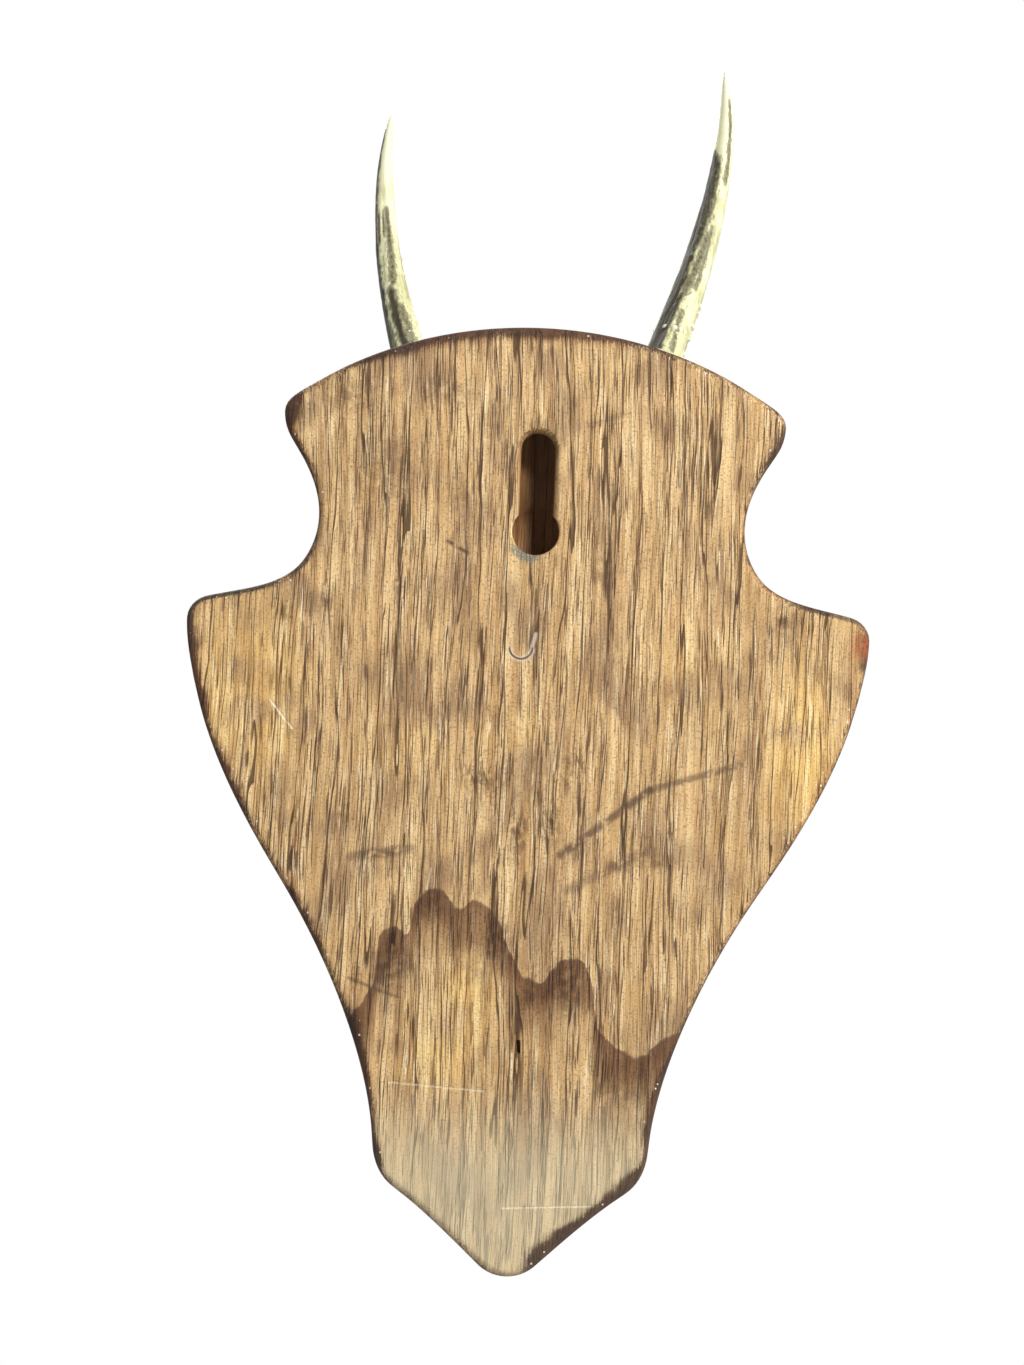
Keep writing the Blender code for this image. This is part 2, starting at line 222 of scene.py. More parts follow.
# %% Noise
def lattice_noise(u, v, wrap=0, seed=0):
    """Noise from 0 to 1: fixed random heights on whole numbers, blended by t*t*(3 - 2*t) in between.

    wrap is the whole number of cells after which it repeats along u, for a surface that closes on itself.
    """
    column, row = np.floor(u).astype(np.int64), np.floor(v).astype(np.int64)
    across, along = u - column, v - row
    across, along = across**2 * (3 - 2 * across), along**2 * (3 - 2 * along)

    def height(i, j):
        i = i % wrap if wrap else i
        mixed = (i * 374761393 + j * 668265263 + seed * 974634777) & 0xFFFFFFFF
        mixed = ((mixed ^ (mixed >> 13)) * 1274126177) & 0xFFFFFFFF
        return ((mixed ^ (mixed >> 16)) & 0xFFFF) / 0xFFFF

    near = height(column, row) * (1 - across) + height(column + 1, row) * across
    far = height(column, row + 1) * (1 - across) + height(column + 1, row + 1) * across
    return near * (1 - along) + far * along


def smoothstep(low, high, value):
    """0 below low, 1 above high, and t*t*(3 - 2*t) between them."""
    t = np.clip((value - low) / (high - low), 0, 1)
    return t * t * (3 - 2 * t)


# %% [markdown]
# A surface is a grid of points. These helpers turn such grids into faces and meshes.


# %% Mesh helpers
def grid_faces(rows, columns, closed):
    """Faces of a grid of points counted row by row; closed joins the last column to the first."""
    wide = columns if closed else columns - 1
    row, column = np.meshgrid(np.arange(rows - 1), np.arange(wide), indexing="ij")
    ahead = (column + 1) % columns
    quads = np.stack([row * columns + column, row * columns + ahead, (row + 1) * columns + ahead,
                      (row + 1) * columns + column], axis=-1)
    return quads.reshape(-1, 4)


def mesh_object(name, points, faces):
    """A piece from an array of points and a list of faces, shaded smooth."""
    mesh = bpy.data.meshes.new(name)
    mesh.from_pydata(points.reshape(-1, 3).tolist(), [], [list(map(int, f)) for f in faces])
    mesh.validate()
    mesh.shade_smooth()
    piece = bpy.data.objects.new(name, mesh)
    scene.collection.objects.link(piece)
    return piece


def points_of(piece):
    """A piece's points as an array with one row for each."""
    flat = np.empty(len(piece.data.vertices) * 3)
    piece.data.vertices.foreach_get("co", flat)
    return flat.reshape(-1, 3)


def set_field(piece, name, values):
    """Stores one number for each point of a piece, for its material to read."""
    field = piece.data.attributes.new(name, "FLOAT", "POINT")
    field.data.foreach_set("value", np.asarray(values, dtype=np.float32))


def capped_rings(rings):
    """A closed skin from rings of points in order, with a fan on a middle point at each end."""
    rows, columns = rings.shape[:2]
    first, last = rows * columns, rows * columns + 1
    points = np.vstack([rings.reshape(-1, 3), rings[0].mean(0), rings[-1].mean(0)])
    here = np.arange(columns)
    ahead = (here + 1) % columns
    start = np.stack([np.full(columns, first), ahead, here], axis=1)
    end = np.stack([np.full(columns, last), here + first - columns, ahead + first - columns], axis=1)
    return points, [*grid_faces(rows, columns, True), *start, *end]


def with_modifiers(piece, *settings):
    """Adds modifiers, each a kind and its settings, and keeps their result as the piece's mesh."""
    for kind, values in settings:
        modifier = piece.modifiers.new(kind, kind)
        for key, value in values.items():
            setattr(modifier, key, value)
    bpy.context.view_layer.update()
    result = bpy.data.meshes.new_from_object(piece.evaluated_get(bpy.context.evaluated_depsgraph_get()))
    piece.modifiers.clear()
    piece.data = result


def cut(piece, tools, operation="DIFFERENCE"):
    """Takes closed tools away from a piece, or joins them to it with UNION, and removes the tools."""
    how = dict(operation=operation, solver="EXACT")
    with_modifiers(piece, *[("BOOLEAN", dict(how, object=tool)) for tool in tools])
    for tool in tools:
        bpy.data.objects.remove(tool)


def finish_piece(piece, node, material):
    """Hands a new piece to the frame in place of a CAD node, and gives it its material."""
    piece.data.materials.clear()
    piece.data.materials.append(material)
    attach(piece, "root")
    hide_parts(node)
    piece.data.calc_loop_triangles()
    print(f"{piece.name}: {len(piece.data.loop_triangles)} triangles")


# %% [markdown]
# ## The board
#
# The real board was band-sawn to its outline, its back edge rounded over with a router and a hollow run
# round the front. It could be a flat outline with a bevel, but a loft gives the back face a grid of its
# own that can be dented. The outline is read off the side wall of the CAD board: half of it, from the apex
# to the tip, where the height always falls. A smooth curve through those points is then walked in even steps.

# %% Half of the outline
BACK_ROUND = 2.5 * MM
FRONT_COVE = 6.0 * MM
OUTLINE_STEPS = 270


def half_outline():
    """Even steps along the +X half of the outline, as distance from the middle line and z, and its normals.

    The curve is a Catmull-Rom spline: through each point, with the slope of the line between its neighbours.
    """
    cad = points_of(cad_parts["shield_board"])
    wall = cad[np.abs(cad[:, 1] + BACK_ROUND) < 0.02 * MM]
    half = wall[wall[:, 0] > MIDDLE_X - 0.01 * MM]
    half = half[np.argsort(-half[:, 2])][:, (0, 2)]
    knots = half[np.r_[True, np.linalg.norm(np.diff(half, axis=0), axis=1) > 0.05 * MM]]
    knots[:, 0] -= MIDDLE_X
    ends = np.array([[-1, 1]])
    padded = np.vstack([knots[1] * ends, knots, knots[-2] * ends])
    before, here, after, beyond = padded[:-3], padded[1:-2], padded[2:-1], padded[3:]
    t = np.linspace(0, 1, 12, endpoint=False)[:, None, None]
    curve = 0.5 * (2 * here + t * (after - before) + t**2 * (2 * before - 5 * here + 4 * after - beyond)
                   + t**3 * (3 * here - before - 3 * after + beyond))
    curve = np.vstack([curve.transpose(1, 0, 2).reshape(-1, 2), knots[-1:]])
    along = np.r_[0, np.cumsum(np.linalg.norm(np.diff(curve, axis=0), axis=1))]
    even = np.linspace(0, along[-1], OUTLINE_STEPS + 1)
    walk = np.stack([np.interp(even, along, curve[:, i]) for i in (0, 1)], axis=1)
    walk[[0, -1], 0] = 0
    heading = np.gradient(walk, axis=0)
    heading[[0, -1]] = ((1, 0), (-1, 0))
    heading /= np.linalg.norm(heading, axis=1, keepdims=True)
    return walk, np.stack([-heading[:, 1], heading[:, 0]], axis=1)


outline, outward = half_outline()
print(f"half outline: {OUTLINE_STEPS} steps, widest {outline[:, 0].max() / MM:.1f} mm from the middle")

# %% [markdown]
# The edge profile is a list of places: how far in from the outline, and at what depth. The back edge is a
# quarter circle. The front is a hollow with crisp corners, which is the superellipse
# (1 - inset/w)^p + (1 - depth/w)^p = 1 with p below 1.

# %% The edge profile
COVE_POWER = math.log(2) / -math.log(math.sqrt(0.12))
round_turn = np.linspace(0, math.pi / 2, 9)
back_edge = np.stack([1 - np.sin(round_turn), np.cos(round_turn) - 1], axis=1) * BACK_ROUND
cove_turn = np.linspace(0, math.pi / 2, 15)
cove_in = FRONT_COVE * (1 - np.cos(cove_turn) ** (2 / COVE_POWER))
cove_deep = FRONT_COVE * (1 - np.sin(cove_turn) ** (2 / COVE_POWER))
front_edge = np.stack([cove_in, cove_deep - BOARD_THICK], axis=1)
wall = np.array([[0, -4.5 * MM], [0, -7 * MM], [0, -10 * MM]])
edge_profile = np.vstack([back_edge, wall, front_edge])
print(f"edge profile: {len(edge_profile)} places from y = 0 to y = {edge_profile[-1, 1] / MM:.1f} mm")


# %% [markdown]
# The back face is a grid of rows that run from edge to edge, each between two mirrored points of the
# outline. It is not flat: the surface was sawn and never planed, so it has shallow waves, raised grain,
# and two torn patches. All of that goes inwards, so the board never leaves its true thickness.


# %% Relief of the back
# How deep each mark goes, in mm, and the torn patches as (x, z, width, height).
SAWN_WAVES, RAISED_GRAIN, TORN_DEEP = 0.10, 0.05, 0.30
TORN = ((7.0, -125.0, 9.0, 16.0), (-1.0, -138.0, 7.0, 12.0), (-44.0, -150.0, 10.0, 7.0))


def back_relief(x, z):
    """How deep the sawn surface lies below the true plane, all in mm, with z counted from the apex.

    Waves 40 mm long across and 60 mm along, grain 2 mm wide and 40 mm long, and torn patches in which the
    grain is deeper: patch = exp(-(dx/w)^2 - (dz/h)^2).
    """
    waves = lattice_noise(x / 40, z / 60, seed=1)
    grain = lattice_noise(x / 2.0, z / 40, seed=2)
    torn_grain = lattice_noise(x / 2.2 + z / 30, z / 14, seed=3)
    torn = sum(np.exp(-(((x - px) / w) ** 2) - ((z - pz) / h) ** 2) for px, pz, w, h in TORN)
    return SAWN_WAVES * waves + RAISED_GRAIN * grain + TORN_DEEP * torn * torn_grain


# %% The board's skin
BACK_COLUMNS = 168
FRONT_COLUMNS = 48


def board_rings():
    """The edge as rings: point(step, place) = outline(step) - outward(step) * inset(place), on both sides."""
    inset, depth = edge_profile[:, 0], edge_profile[:, 1]
    flat = outline[:, None, :] - outward[:, None, :] * inset[None, :, None]
    flat[[0, -1], :, 0] = 0
    right = np.stack([flat[..., 0], np.broadcast_to(depth, flat.shape[:2]), flat[..., 1]], axis=-1)
    left = right[1:-1][::-1] * (-1, 1, 1)
    return np.vstack([right, left]).transpose(1, 0, 2)


def face_grid(ring, columns, start):
    """Fills a ring with rows between its mirrored points: new points, and faces that share the ring's own."""
    around = len(ring)
    half = around // 2
    rows = np.arange(1, half)
    right, left = ring[rows], ring[around - rows]
    t = np.linspace(0, 1, columns + 1)[1:-1]
    inner = left[:, None, :] * (1 - t[None, :, None]) + right[:, None, :] * t[None, :, None]
    index = start + np.arange(inner.shape[0] * inner.shape[1]).reshape(inner.shape[:2])
    table = np.hstack([(around - rows)[:, None], index, rows[:, None]])
    quads = np.stack([table[:-1, :-1], table[:-1, 1:], table[1:, 1:], table[1:, :-1]], axis=-1).reshape(-1, 4)
    apex = np.stack([np.zeros(columns, int), table[0, 1:], table[0, :-1]], axis=1)
    tip = np.stack([np.full(columns, half), table[-1, :-1], table[-1, 1:]], axis=1)
    return inner.reshape(-1, 3), quads, apex, tip


def edge_distance(flat):
    """Distance in metres of points (x from the middle line, z) from the nearest step of the outline."""
    folded = np.hstack([np.abs(flat[:, :1]), flat[:, 1:]])
    nearest = np.full(len(folded), np.inf)
    for first in range(0, len(outline), 30):
        chunk = outline[first : first + 30]
        nearest = np.minimum(nearest, np.linalg.norm(folded[:, None] - chunk[None], axis=2).min(1))
    return nearest


def shield_skin():
    """The whole board as one closed skin: back grid, edge rings and front grid."""
    rings = board_rings()
    places, around = rings.shape[:2]
    points = [rings.reshape(-1, 3)]
    faces = [*grid_faces(places, around, True)[:, ::-1]]
    for ring, columns, flip in ((0, BACK_COLUMNS, False), (places - 1, FRONT_COLUMNS, True)):
        start = sum(len(p) for p in points)
        inner, quads, apex, tip = face_grid(rings[ring], columns, start)
        if not flip:
            depth = back_relief(inner[:, 0] / MM, (inner[:, 2] - APEX_Z) / MM) * MM
            rim_fade = smoothstep(0, 4 * MM, edge_distance(inner[:, (0, 2)]) - BACK_ROUND)
            inner[:, 1] -= depth * rim_fade
        points.append(inner)
        offset = ring * around
        for batch in (quads, apex, tip):
            batch = np.where(batch < start, batch + offset, batch)
            faces += list(batch[:, ::-1] if flip else batch)
    points = np.vstack(points)
    points[:, 0] += MIDDLE_X
    return points, faces


points, faces = shield_skin()
board = mesh_object("board_of_bare_oak", points, faces)
print(f"board skin: {len(points)} points")

# %% [markdown]
# The keyhole was routed: a round entry for the head of the wall screw, and above it a slot for its shank
# with a wider groove behind the lip. Each cut is a plug, which is a stack of rings, and the lip of the
# slot is eased, so its plug flares towards the back.

# %% Keyhole, split and screw holes
ENTRY_DROP = 24.1 * MM
SPLIT_X, SPLIT_Z = MIDDLE_X - 1.3 * MM, APEX_Z - 211.4 * MM
SPLIT_HALF = 1.5 * MM
SCREW_BORE = 2.2 * MM


def plug(name, radii, top=(0.0, 0.0), bottom=(0.0, 0.0), steps=48):
    """A closed tool along Y: for each (y, radius), a ring round a slot that runs from top to bottom."""
    turn = np.linspace(0, 2 * math.pi, steps, endpoint=False)
    centre = np.where((np.sin(turn) >= 0)[:, None], np.array(top), np.array(bottom))
    y, radius = np.array(radii).T[:, :, None]
    x, z = centre[:, 0] + radius * np.cos(turn), centre[:, 1] + radius * np.sin(turn)
    return mesh_object(name, *capped_rings(np.stack([x, y + 0 * x, z], axis=2)))


def worn_slot():
    """The plugs that make the keyhole."""
    seat, entry = (0.0, 0.0), (0.0, -ENTRY_DROP)
    lip = [(2, 6.6), (0.02, 6.5), (-0.3, 6.1), (-1.2, 5.3), (-2.0, 5.05), (-6, 4.95)]
    hole = [(2, 7.6), (0.02, 7.45), (-0.35, 7.1), (-0.9, 6.95), (-11.5, 6.9)]
    groove = [(-5, 6.6), (-11.4, 6.6)]
    return [
        plug(name, [(y * MM, r * MM) for y, r in radii], top, entry)
        for name, radii, top in (("slot", lip, seat), ("entry", hole, entry), ("groove", groove, seat))
    ]


def screw_holes():
    """Blind holes in the front for the plate's screws, half a millimetre wider than the shanks."""
    holes = []
    for name, at in screw_spots.items():
        floor_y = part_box(name)[1][1] + MM
        radii = [(floor_y, SCREW_BORE), (-BOARD_THICK - 2 * MM, SCREW_BORE)]
        holes.append(plug(f"hole_{name}", radii, at, at, steps=20))
    return holes


screw_spots = {name: (sum(c[0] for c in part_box(name)) / 2, sum(c[2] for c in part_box(name)) / 2)
               for name in ("screw_top", "screw_left", "screw_right")}
split = plug("split", [(2 * MM, 0.62 * MM), (-4 * MM, 0.5 * MM)],
             (SPLIT_X, SPLIT_Z + SPLIT_HALF), (SPLIT_X - 0.25 * MM, SPLIT_Z - SPLIT_HALF), steps=16)
cut(board, [*worn_slot(), *screw_holes(), split])
print(f"board after its cuts: {len(board.data.vertices)} points")

# %% [markdown]
# The finish of the board changes with the distance from the edge, which no texture coordinate gives, so
# that distance is stored on the points.

# %% Distance from the edge
xyz = points_of(board)
rim = edge_distance(xyz[:, (0, 2)] - (MIDDLE_X, 0)) / MM
set_field(board, "rim_mm", rim)
print(f"furthest point from the edge: {rim.max():.0f} mm")

# %% [markdown]
# ## The wood
#
# The board is oak, bare on the back and stained dark on the front. Oak is ring porous: each year starts
# with a row of wide open pores, which a saw cut shows as dark scratches along the grain, and ends with
# dense pale wood. So the pattern is worked out as the wood grew. The number of rings passed on the way
# across the board is a smooth function of x, its fraction says where in the year a point is, and the
# pores, the lines and the tone all follow from that. The rings are about 4 mm wide at the +X edge of the
# board and about 13 mm at the other, because it was sawn well off the middle of the trunk.
#
# All of it reads Object coordinates in millimetres, from the middle line and from the apex.


# %% Grain coordinates
def board_millimetres(put):
    """Object coordinates as millimetres from the middle line, the back and the apex."""
    place = put("TexCoord", output="Object")
    home = (-MIDDLE_X / MM, 0, -APEX_Z / MM)
    return put("Mapping", {"Vector": place, "Location": home, "Scale": (1 / MM, 1 / MM, 1 / MM)})


def swayed(put, mm):
    """The same millimetres with x shifted by up to 4.5 mm, slowly, because a trunk is never straight."""
    slow = put("Mapping", {"Vector": mm, "Scale": (1 / 60, 1 / 60, 1 / 150)})
    sway = put("TexNoise", {"Vector": slow, "Scale": 1.0, "Detail": 2.5})
    x = put("SeparateXYZ", {0: mm})
    shift = put("Math", {0: sway, 1: 9.0, 2: -4.5}, operation="MULTIPLY_ADD")
    moved = put("Math", {0: x, 1: shift}, operation="ADD")
    axes = x.node.outputs
    return put("CombineXYZ", {"X": moved, "Y": axes["Y"], "Z": axes["Z"]})


def streaks(put, grain, wide, tall, detail=2.0, start=0.0):
    """Noise drawn out along the grain, with features about wide mm across and tall mm long."""
    scale = (1 / wide, 1 / wide, 1 / tall)
    drawn = put("Mapping", {"Vector": grain, "Location": (start, 0, 0), "Scale": scale})
    return put("TexNoise", {"Vector": drawn, "Scale": 1.0, "Detail": detail})


def between(put, value, low, high):
    """A soft step, t*t*(3 - 2*t): 0 below low and 1 above high, or the other way round if low is larger."""
    ends = {"Value": value, "From Min": min(low, high), "From Max": max(low, high)}
    if low > high:
        ends |= {"To Min": 1.0, "To Max": 0.0}
    return put("MapRange", ends, interpolation_type="SMOOTHSTEP")


# %% [markdown]
# Stains and knocks lie at known places, so each is a soft patch (an ellipse that fades outwards) or a
# stroke (all that is near a straight line). Both are worked out from the distance, so they stay sharp
# however close the camera comes.


# %% Patches, strokes and layers of colour
def patch(put, mm, x, z, wide, tall, soft=1.0):
    """1 in the middle of an ellipse about (x, z), 0 outside it; a smaller soft gives it a harder rim."""
    home = (-x / wide, 0, -z / tall)
    near = put("Mapping", {"Vector": mm, "Location": home, "Scale": (1 / wide, 0, 1 / tall)})
    return between(put, put("VectorMath", {0: near}, output="Value", operation="LENGTH"), 1.0, 1.0 - soft)


def stroke(put, mm, start, end, wide):
    """1 on the line from start to end, 0 beyond wide mm from it: the distance is |p - a - h(b - a)|."""
    a, b = Vector((start[0], 0, start[1])), Vector((end[0], 0, end[1]))
    flat = put("VectorMath", {0: mm, 1: (1, 0, 1)}, operation="MULTIPLY")
    from_a = put("VectorMath", {0: flat, 1: a}, operation="SUBTRACT")
    along = put("VectorMath", {0: from_a, 1: (b - a) / (b - a).length_squared}, output="Value",
                operation="DOT_PRODUCT")
    held = put("Clamp", {"Value": along})
    back = put("VectorMath", {0: b - a, "Scale": held}, operation="SCALE")
    gap = put("VectorMath", {0: from_a, 1: back}, operation="SUBTRACT")
    return between(put, put("VectorMath", {0: gap}, output="Value", operation="LENGTH"), wide, 0.2 * wide)


def layer(put, base, colour, amount, strength=1.0, blend="MIX"):
    """A layer of colour over base: base + amount * strength * (blend of base and colour - base)."""
    how_much = put("Math", {0: amount, 1: strength}, operation="MULTIPLY")
    over = linear(colour) if isinstance(colour, str) else colour
    return put("Mix", {0: how_much, 6: base, 7: over}, output=2, data_type="RGBA", blend_type=blend)


def product(put, *factors):
    """The product of several masks."""
    result = factors[0]
    for factor in factors[1:]:
        result = put("Math", {0: result, 1: factor}, operation="MULTIPLY")
    return result


# %% Bare oak
def long_lines(put, grain, apart, wide, sway, start):
    """Thin lines along the grain: 1 where the fraction of (x + sway noise) / apart is below wide / apart."""
    noise = streaks(put, grain, 7.0, 90.0, 3.0, start)
    x = put("SeparateXYZ", {0: grain})
    place = put("Math", {0: put("Math", {0: noise, 1: sway, 2: x}, operation="MULTIPLY_ADD"), 1: 1 / apart},
                operation="MULTIPLY")
    part = put("Math", {0: place}, operation="FRACT")
    return between(put, part, wide / apart, 0.4 * wide / apart)


def oak_grain(put, mm):
    """Colour of clean bare oak, and how high its surface stands in mm."""
    grain = swayed(put, mm)
    x = put("SeparateXYZ", {0: grain})
    bend = put("Math", {0: x, 1: 0.00048, 2: 0.173}, operation="MULTIPLY_ADD")
    rings = put("Math", {0: x, 1: bend}, operation="MULTIPLY")
    wander = streaks(put, grain, 9.0, 120.0, 2.0, start=3.7)
    rings = put("Math", {0: wander, 1: 1.6, 2: rings}, operation="MULTIPLY_ADD")
    year = put("Math", {0: rings}, operation="FRACT")

    early = between(put, year, 0.55, 0.10)
    busy = between(put, streaks(put, grain, 5.0, 60.0, 2.0, 15.0), 0.40, 0.60)
    mild = put("Math", {0: busy, 1: 0.65, 2: 0.35}, operation="MULTIPLY_ADD")
    kept = between(put, streaks(put, grain, 5.0, 34.0, 2.0, 9.0), 0.42, 0.52)
    line = product(put, between(put, year, 0.065, 0.0), kept)
    long_line = product(put, long_lines(put, grain, 7.3, 0.75, 16.0, 61.0),
                        between(put, streaks(put, grain, 3.5, 45.0, 2.0, 12.0), 0.40, 0.50))
    cluster = product(put, long_lines(put, grain, 1.55, 0.48, 7.0, 84.0), busy,
                      between(put, streaks(put, grain, 1.4, 22.0, 2.0, 71.0), 0.46, 0.54))
    pores = product(put, between(put, streaks(put, grain, 0.36, 9.0, 1.0, 5.0), 0.56, 0.62), early)
    dashes = product(put, between(put, streaks(put, grain, 0.32, 11.0, 0.0, 45.0), 0.64, 0.72), mild)
    fibre = streaks(put, grain, 0.30, 14.0, 2.0, 21.0)
    soft = streaks(put, grain, 2.6, 60.0, 3.0, 27.0)
    fleck = between(put, streaks(put, grain, 0.36, 14.0, 1.0, 33.0), 0.40, 0.32)
    cloud = streaks(put, mm, 15.0, 24.0, 4.0, 50.0)
    dust = put("TexNoise", {"Vector": mm, "Scale": 1.5, "Detail": 3.0, "Roughness": 0.7})

    colour = put("ValToRGB", {0: soft}, ramp=((0.34, "#b9925f"), (0.50, "#d3ac78"), (0.66, "#eac994")))
    for tone, mark, strength in (
        ("#8d6a45", product(put, between(put, fibre, 0.50, 0.32), mild), 0.38),
        ("#fbe9bb", product(put, between(put, fibre, 0.52, 0.68), mild), 0.45),
        ("#85674e", between(put, cloud, 0.46, 0.66), 0.62),
        ("#ad855a", early, 0.22),
        ("#fff0cc", product(put, fleck, mild), 0.60),
        ("#6d5038", between(put, dust, 0.50, 0.66), 0.60),
        ("#5a402d", pores, 0.85),
        ("#4f3722", dashes, 0.85),
        ("#54392a", cluster, 0.85),
        ("#4c331c", long_line, 0.90),
        ("#3c2716", line, 0.90),
    ):
        colour = layer(put, colour, tone, mark, strength)
    height = put("Math", {0: fibre, 1: 0.11}, operation="MULTIPLY")
    for mark, deep in ((dust, 0.10), (pores, -0.14), (dashes, -0.20), (cluster, -0.24), (long_line, -0.28),
                       (line, -0.32)):
        height = put("Math", {0: mark, 1: deep, 2: height}, operation="MULTIPLY_ADD")
    return colour, height, fibre


# %% [markdown]
# The back has a life behind it. Water stood in the tip and crept up, and left a brown tide line with
# scallops where it dried. The stain of the front ran round the edge. There is a scuff like a horseshoe, a
# faint crack across, and bruises. The tide line is a curve of height against x; below it the brown fades.

# %% Where the marks are, in mm from the middle line and from the apex
TIDE_SPAN = (52.0, -48.0)
TIDE_HEIGHT = (-220.0, -160.0)
TIDE_LINE = ((52, -208), (47.8, -203), (43, -196), (41.2, -191), (40.6, -180), (36.6, -177), (32.4, -178.5),
             (30.4, -170), (23.5, -165.3), (17.5, -171), (13.1, -168.5), (6.5, -173), (2.0, -183),
             (-7.0, -191.6), (-11.2, -187), (-16.5, -184.2), (-21.5, -189), (-24.6, -204.7), (-31.8, -211),
             (-36.3, -212.7), (-42.6, -208), (-48, -205))
# A blot is (x, z, width, height, strength), a stroke (start, end, width, strength).
DARK_BLOTS = (
    (37, -189, 8, 16, 0.55), (26, -172, 10, 9, 0.35), (6, -181, 7, 12, 0.55), (-15, -193, 8, 14, 0.6),
    (-4, -196, 9, 10, 0.45), (48, -212, 5, 22, 0.6), (-31, -222, 12, 20, 0.25), (60, -83, 4, 4, 0.6),
    (71, -86, 4, 6, 0.45), (-75, -84, 8, 8, 0.55), (38.5, -77, 2.4, 4, 0.6), (42, -156, 10, 3, 0.4),
    (44, -42, 22, 26, 0.30), (10, -34, 14, 18, 0.22),
    (52, -145, 6, 8, 0.3), (-28, -157, 9, 4, 0.45), (-40, -156, 9, 5, 0.4), (1, -150, 4, 13, 0.55),
    (-9, -146, 4, 12, 0.55), (-13, -130, 3, 12, 0.5), (12, -134, 10, 5, 0.5), (21, -50, 8, 14, 0.35),
    (26, -20, 14, 8, 0.35), (55, -22, 16, 9, 0.45), (72, -28, 8, 9, 0.6), (-21, -70, 6, 14, 0.3),
)
PALE_BLOTS = (
    (80, -110, 26, 36, 0.48), (-82, -122, 18, 40, 0.58), (-48, -100, 22, 30, 0.18), (14, -196, 12, 16, 0.55),
    (20, -215, 22, 16, 0.35),
    (36, -125, 18, 14, 0.25), (5, -118, 16, 10, 0.3), (-2, -30, 8, 10, 0.3),
)
DARK_STROKES = (
    ((-11.7, -154.7), (-37.4, -134.7), 1.9, 0.8), ((-37.4, -134.7), (-63.5, -126.5), 1.6, 0.65),
    ((49.2, -192.9), (33.8, -198.3), 0.9, 0.6), ((24.4, -63.8), (18.4, -67.1), 0.9, 0.9),
    ((38.8, -76), (36.2, -111), 0.9, 0.55), ((-16.1, -28.4), (-27.1, -24.2), 1.4, 0.35),
    ((49.9, -157.4), (32.4, -154.2), 2.2, 0.55), ((-14, -165), (-38, -152), 2.4, 0.45),
)
PALE_STROKES = (
    ((74.9, -112.2), (68.2, -120.2), 0.45, 0.8), ((36.1, -223.0), (8.5, -224.7), 0.5, 0.35),
    ((1.7, -258.8), (-27.9, -257.2), 0.4, 0.6), ((27, -166), (26, -160), 0.6, 0.3),
)
TORN_OUT = ((13, -132, 9, 6), (1, -146, 5, 12), (-8, -146, 4.5, 12), (24, -116, 3, 12), (-16, -128, 3, 9))
SCUFF = (2.0, -94.2)
BLOT_GAIN = {"SOFT_LIGHT": 1.9, "MULTIPLY": 1.3}


# %% Water, bruises and scratches
def weathered(put, mm, colour, height):
    """Lays the tide mark, the bruises, the scuff and the scratches over the clean wood."""
    x = put("SeparateXYZ", {0: mm})
    z = x.node.outputs["Z"]
    ragged = put("TexNoise", {"Vector": mm, "Scale": 0.35, "Detail": 3.0})
    shaken = put("TexNoise", {"Vector": mm, "Scale": 0.09, "Detail": 3.0})

    first, last = TIDE_SPAN
    low, high = TIDE_HEIGHT
    across = put("MapRange", {"Value": x, "From Min": first, "From Max": last})
    knots = [((kx - first) / (last - first), (kz - low) / (high - low)) for kx, kz in TIDE_LINE]
    tide = put("FloatCurve", {"Value": across}, ramp=knots)
    tide = put("Math", {0: tide, 1: high - low, 2: low}, operation="MULTIPLY_ADD")
    tide = put("Math", {0: ragged, 1: 3.0, 2: tide}, operation="MULTIPLY_ADD")
    below = put("Math", {0: tide, 1: z}, operation="SUBTRACT")
    below = put("Math", {0: below, 1: 1.5}, operation="SUBTRACT")
    soaked = between(put, below, 0.0, 1.0)
    fading = put("Math", {0: shaken, 1: 22.0, 2: below}, operation="MULTIPLY_ADD")
    brown = product(put, soaked, between(put, fading, 36.0, 13.0))
    mark = product(put, soaked, between(put, below, 2.6, 0.6))
    colour = layer(put, colour, "#a18e89", brown, 0.97, "MULTIPLY")
    colour = layer(put, colour, "#6d5545", mark, 0.30)
    colour = layer(put, colour, "#cfc4a6", between(put, z, -218.0, -252.0), 0.55)

    for blots, tone, grit, blend in (
        (PALE_BLOTS, "#f6e9c6", between(put, shaken, 0.30, 0.55), "SOFT_LIGHT"),
        (DARK_BLOTS, "#7b6050", between(put, ragged, 0.30, 0.58), "MULTIPLY"),
    ):
        for *place, strength in blots:
            blot = product(put, patch(put, mm, *place), grit)
            colour = layer(put, colour, tone, blot, min(1.0, BLOT_GAIN[blend] * strength), blend)

    chatter = between(put, streaks(put, mm, 1.0, 4.0, 2.0, 77.0), 0.46, 0.60)
    for place in TORN_OUT:
        torn = product(put, patch(put, mm, *place), chatter)
        colour = layer(put, colour, "#5d442e", torn, 0.70)
        height = put("Math", {0: torn, 1: -0.35, 2: height}, operation="MULTIPLY_ADD")

    broken = between(put, ragged, 0.30, 0.50)
    for *place, strength in DARK_STROKES:
        colour = layer(put, colour, "#5a4434", product(put, stroke(put, mm, *place), broken), strength)
    for *place, strength in PALE_STROKES:
        mark = stroke(put, mm, *place)
        colour = layer(put, colour, "#f6e8c8", product(put, mark, between(put, ragged, 0.30, 0.44)), strength)
        height = put("Math", {0: mark, 1: -0.10, 2: height}, operation="MULTIPLY_ADD")
    return colour, height


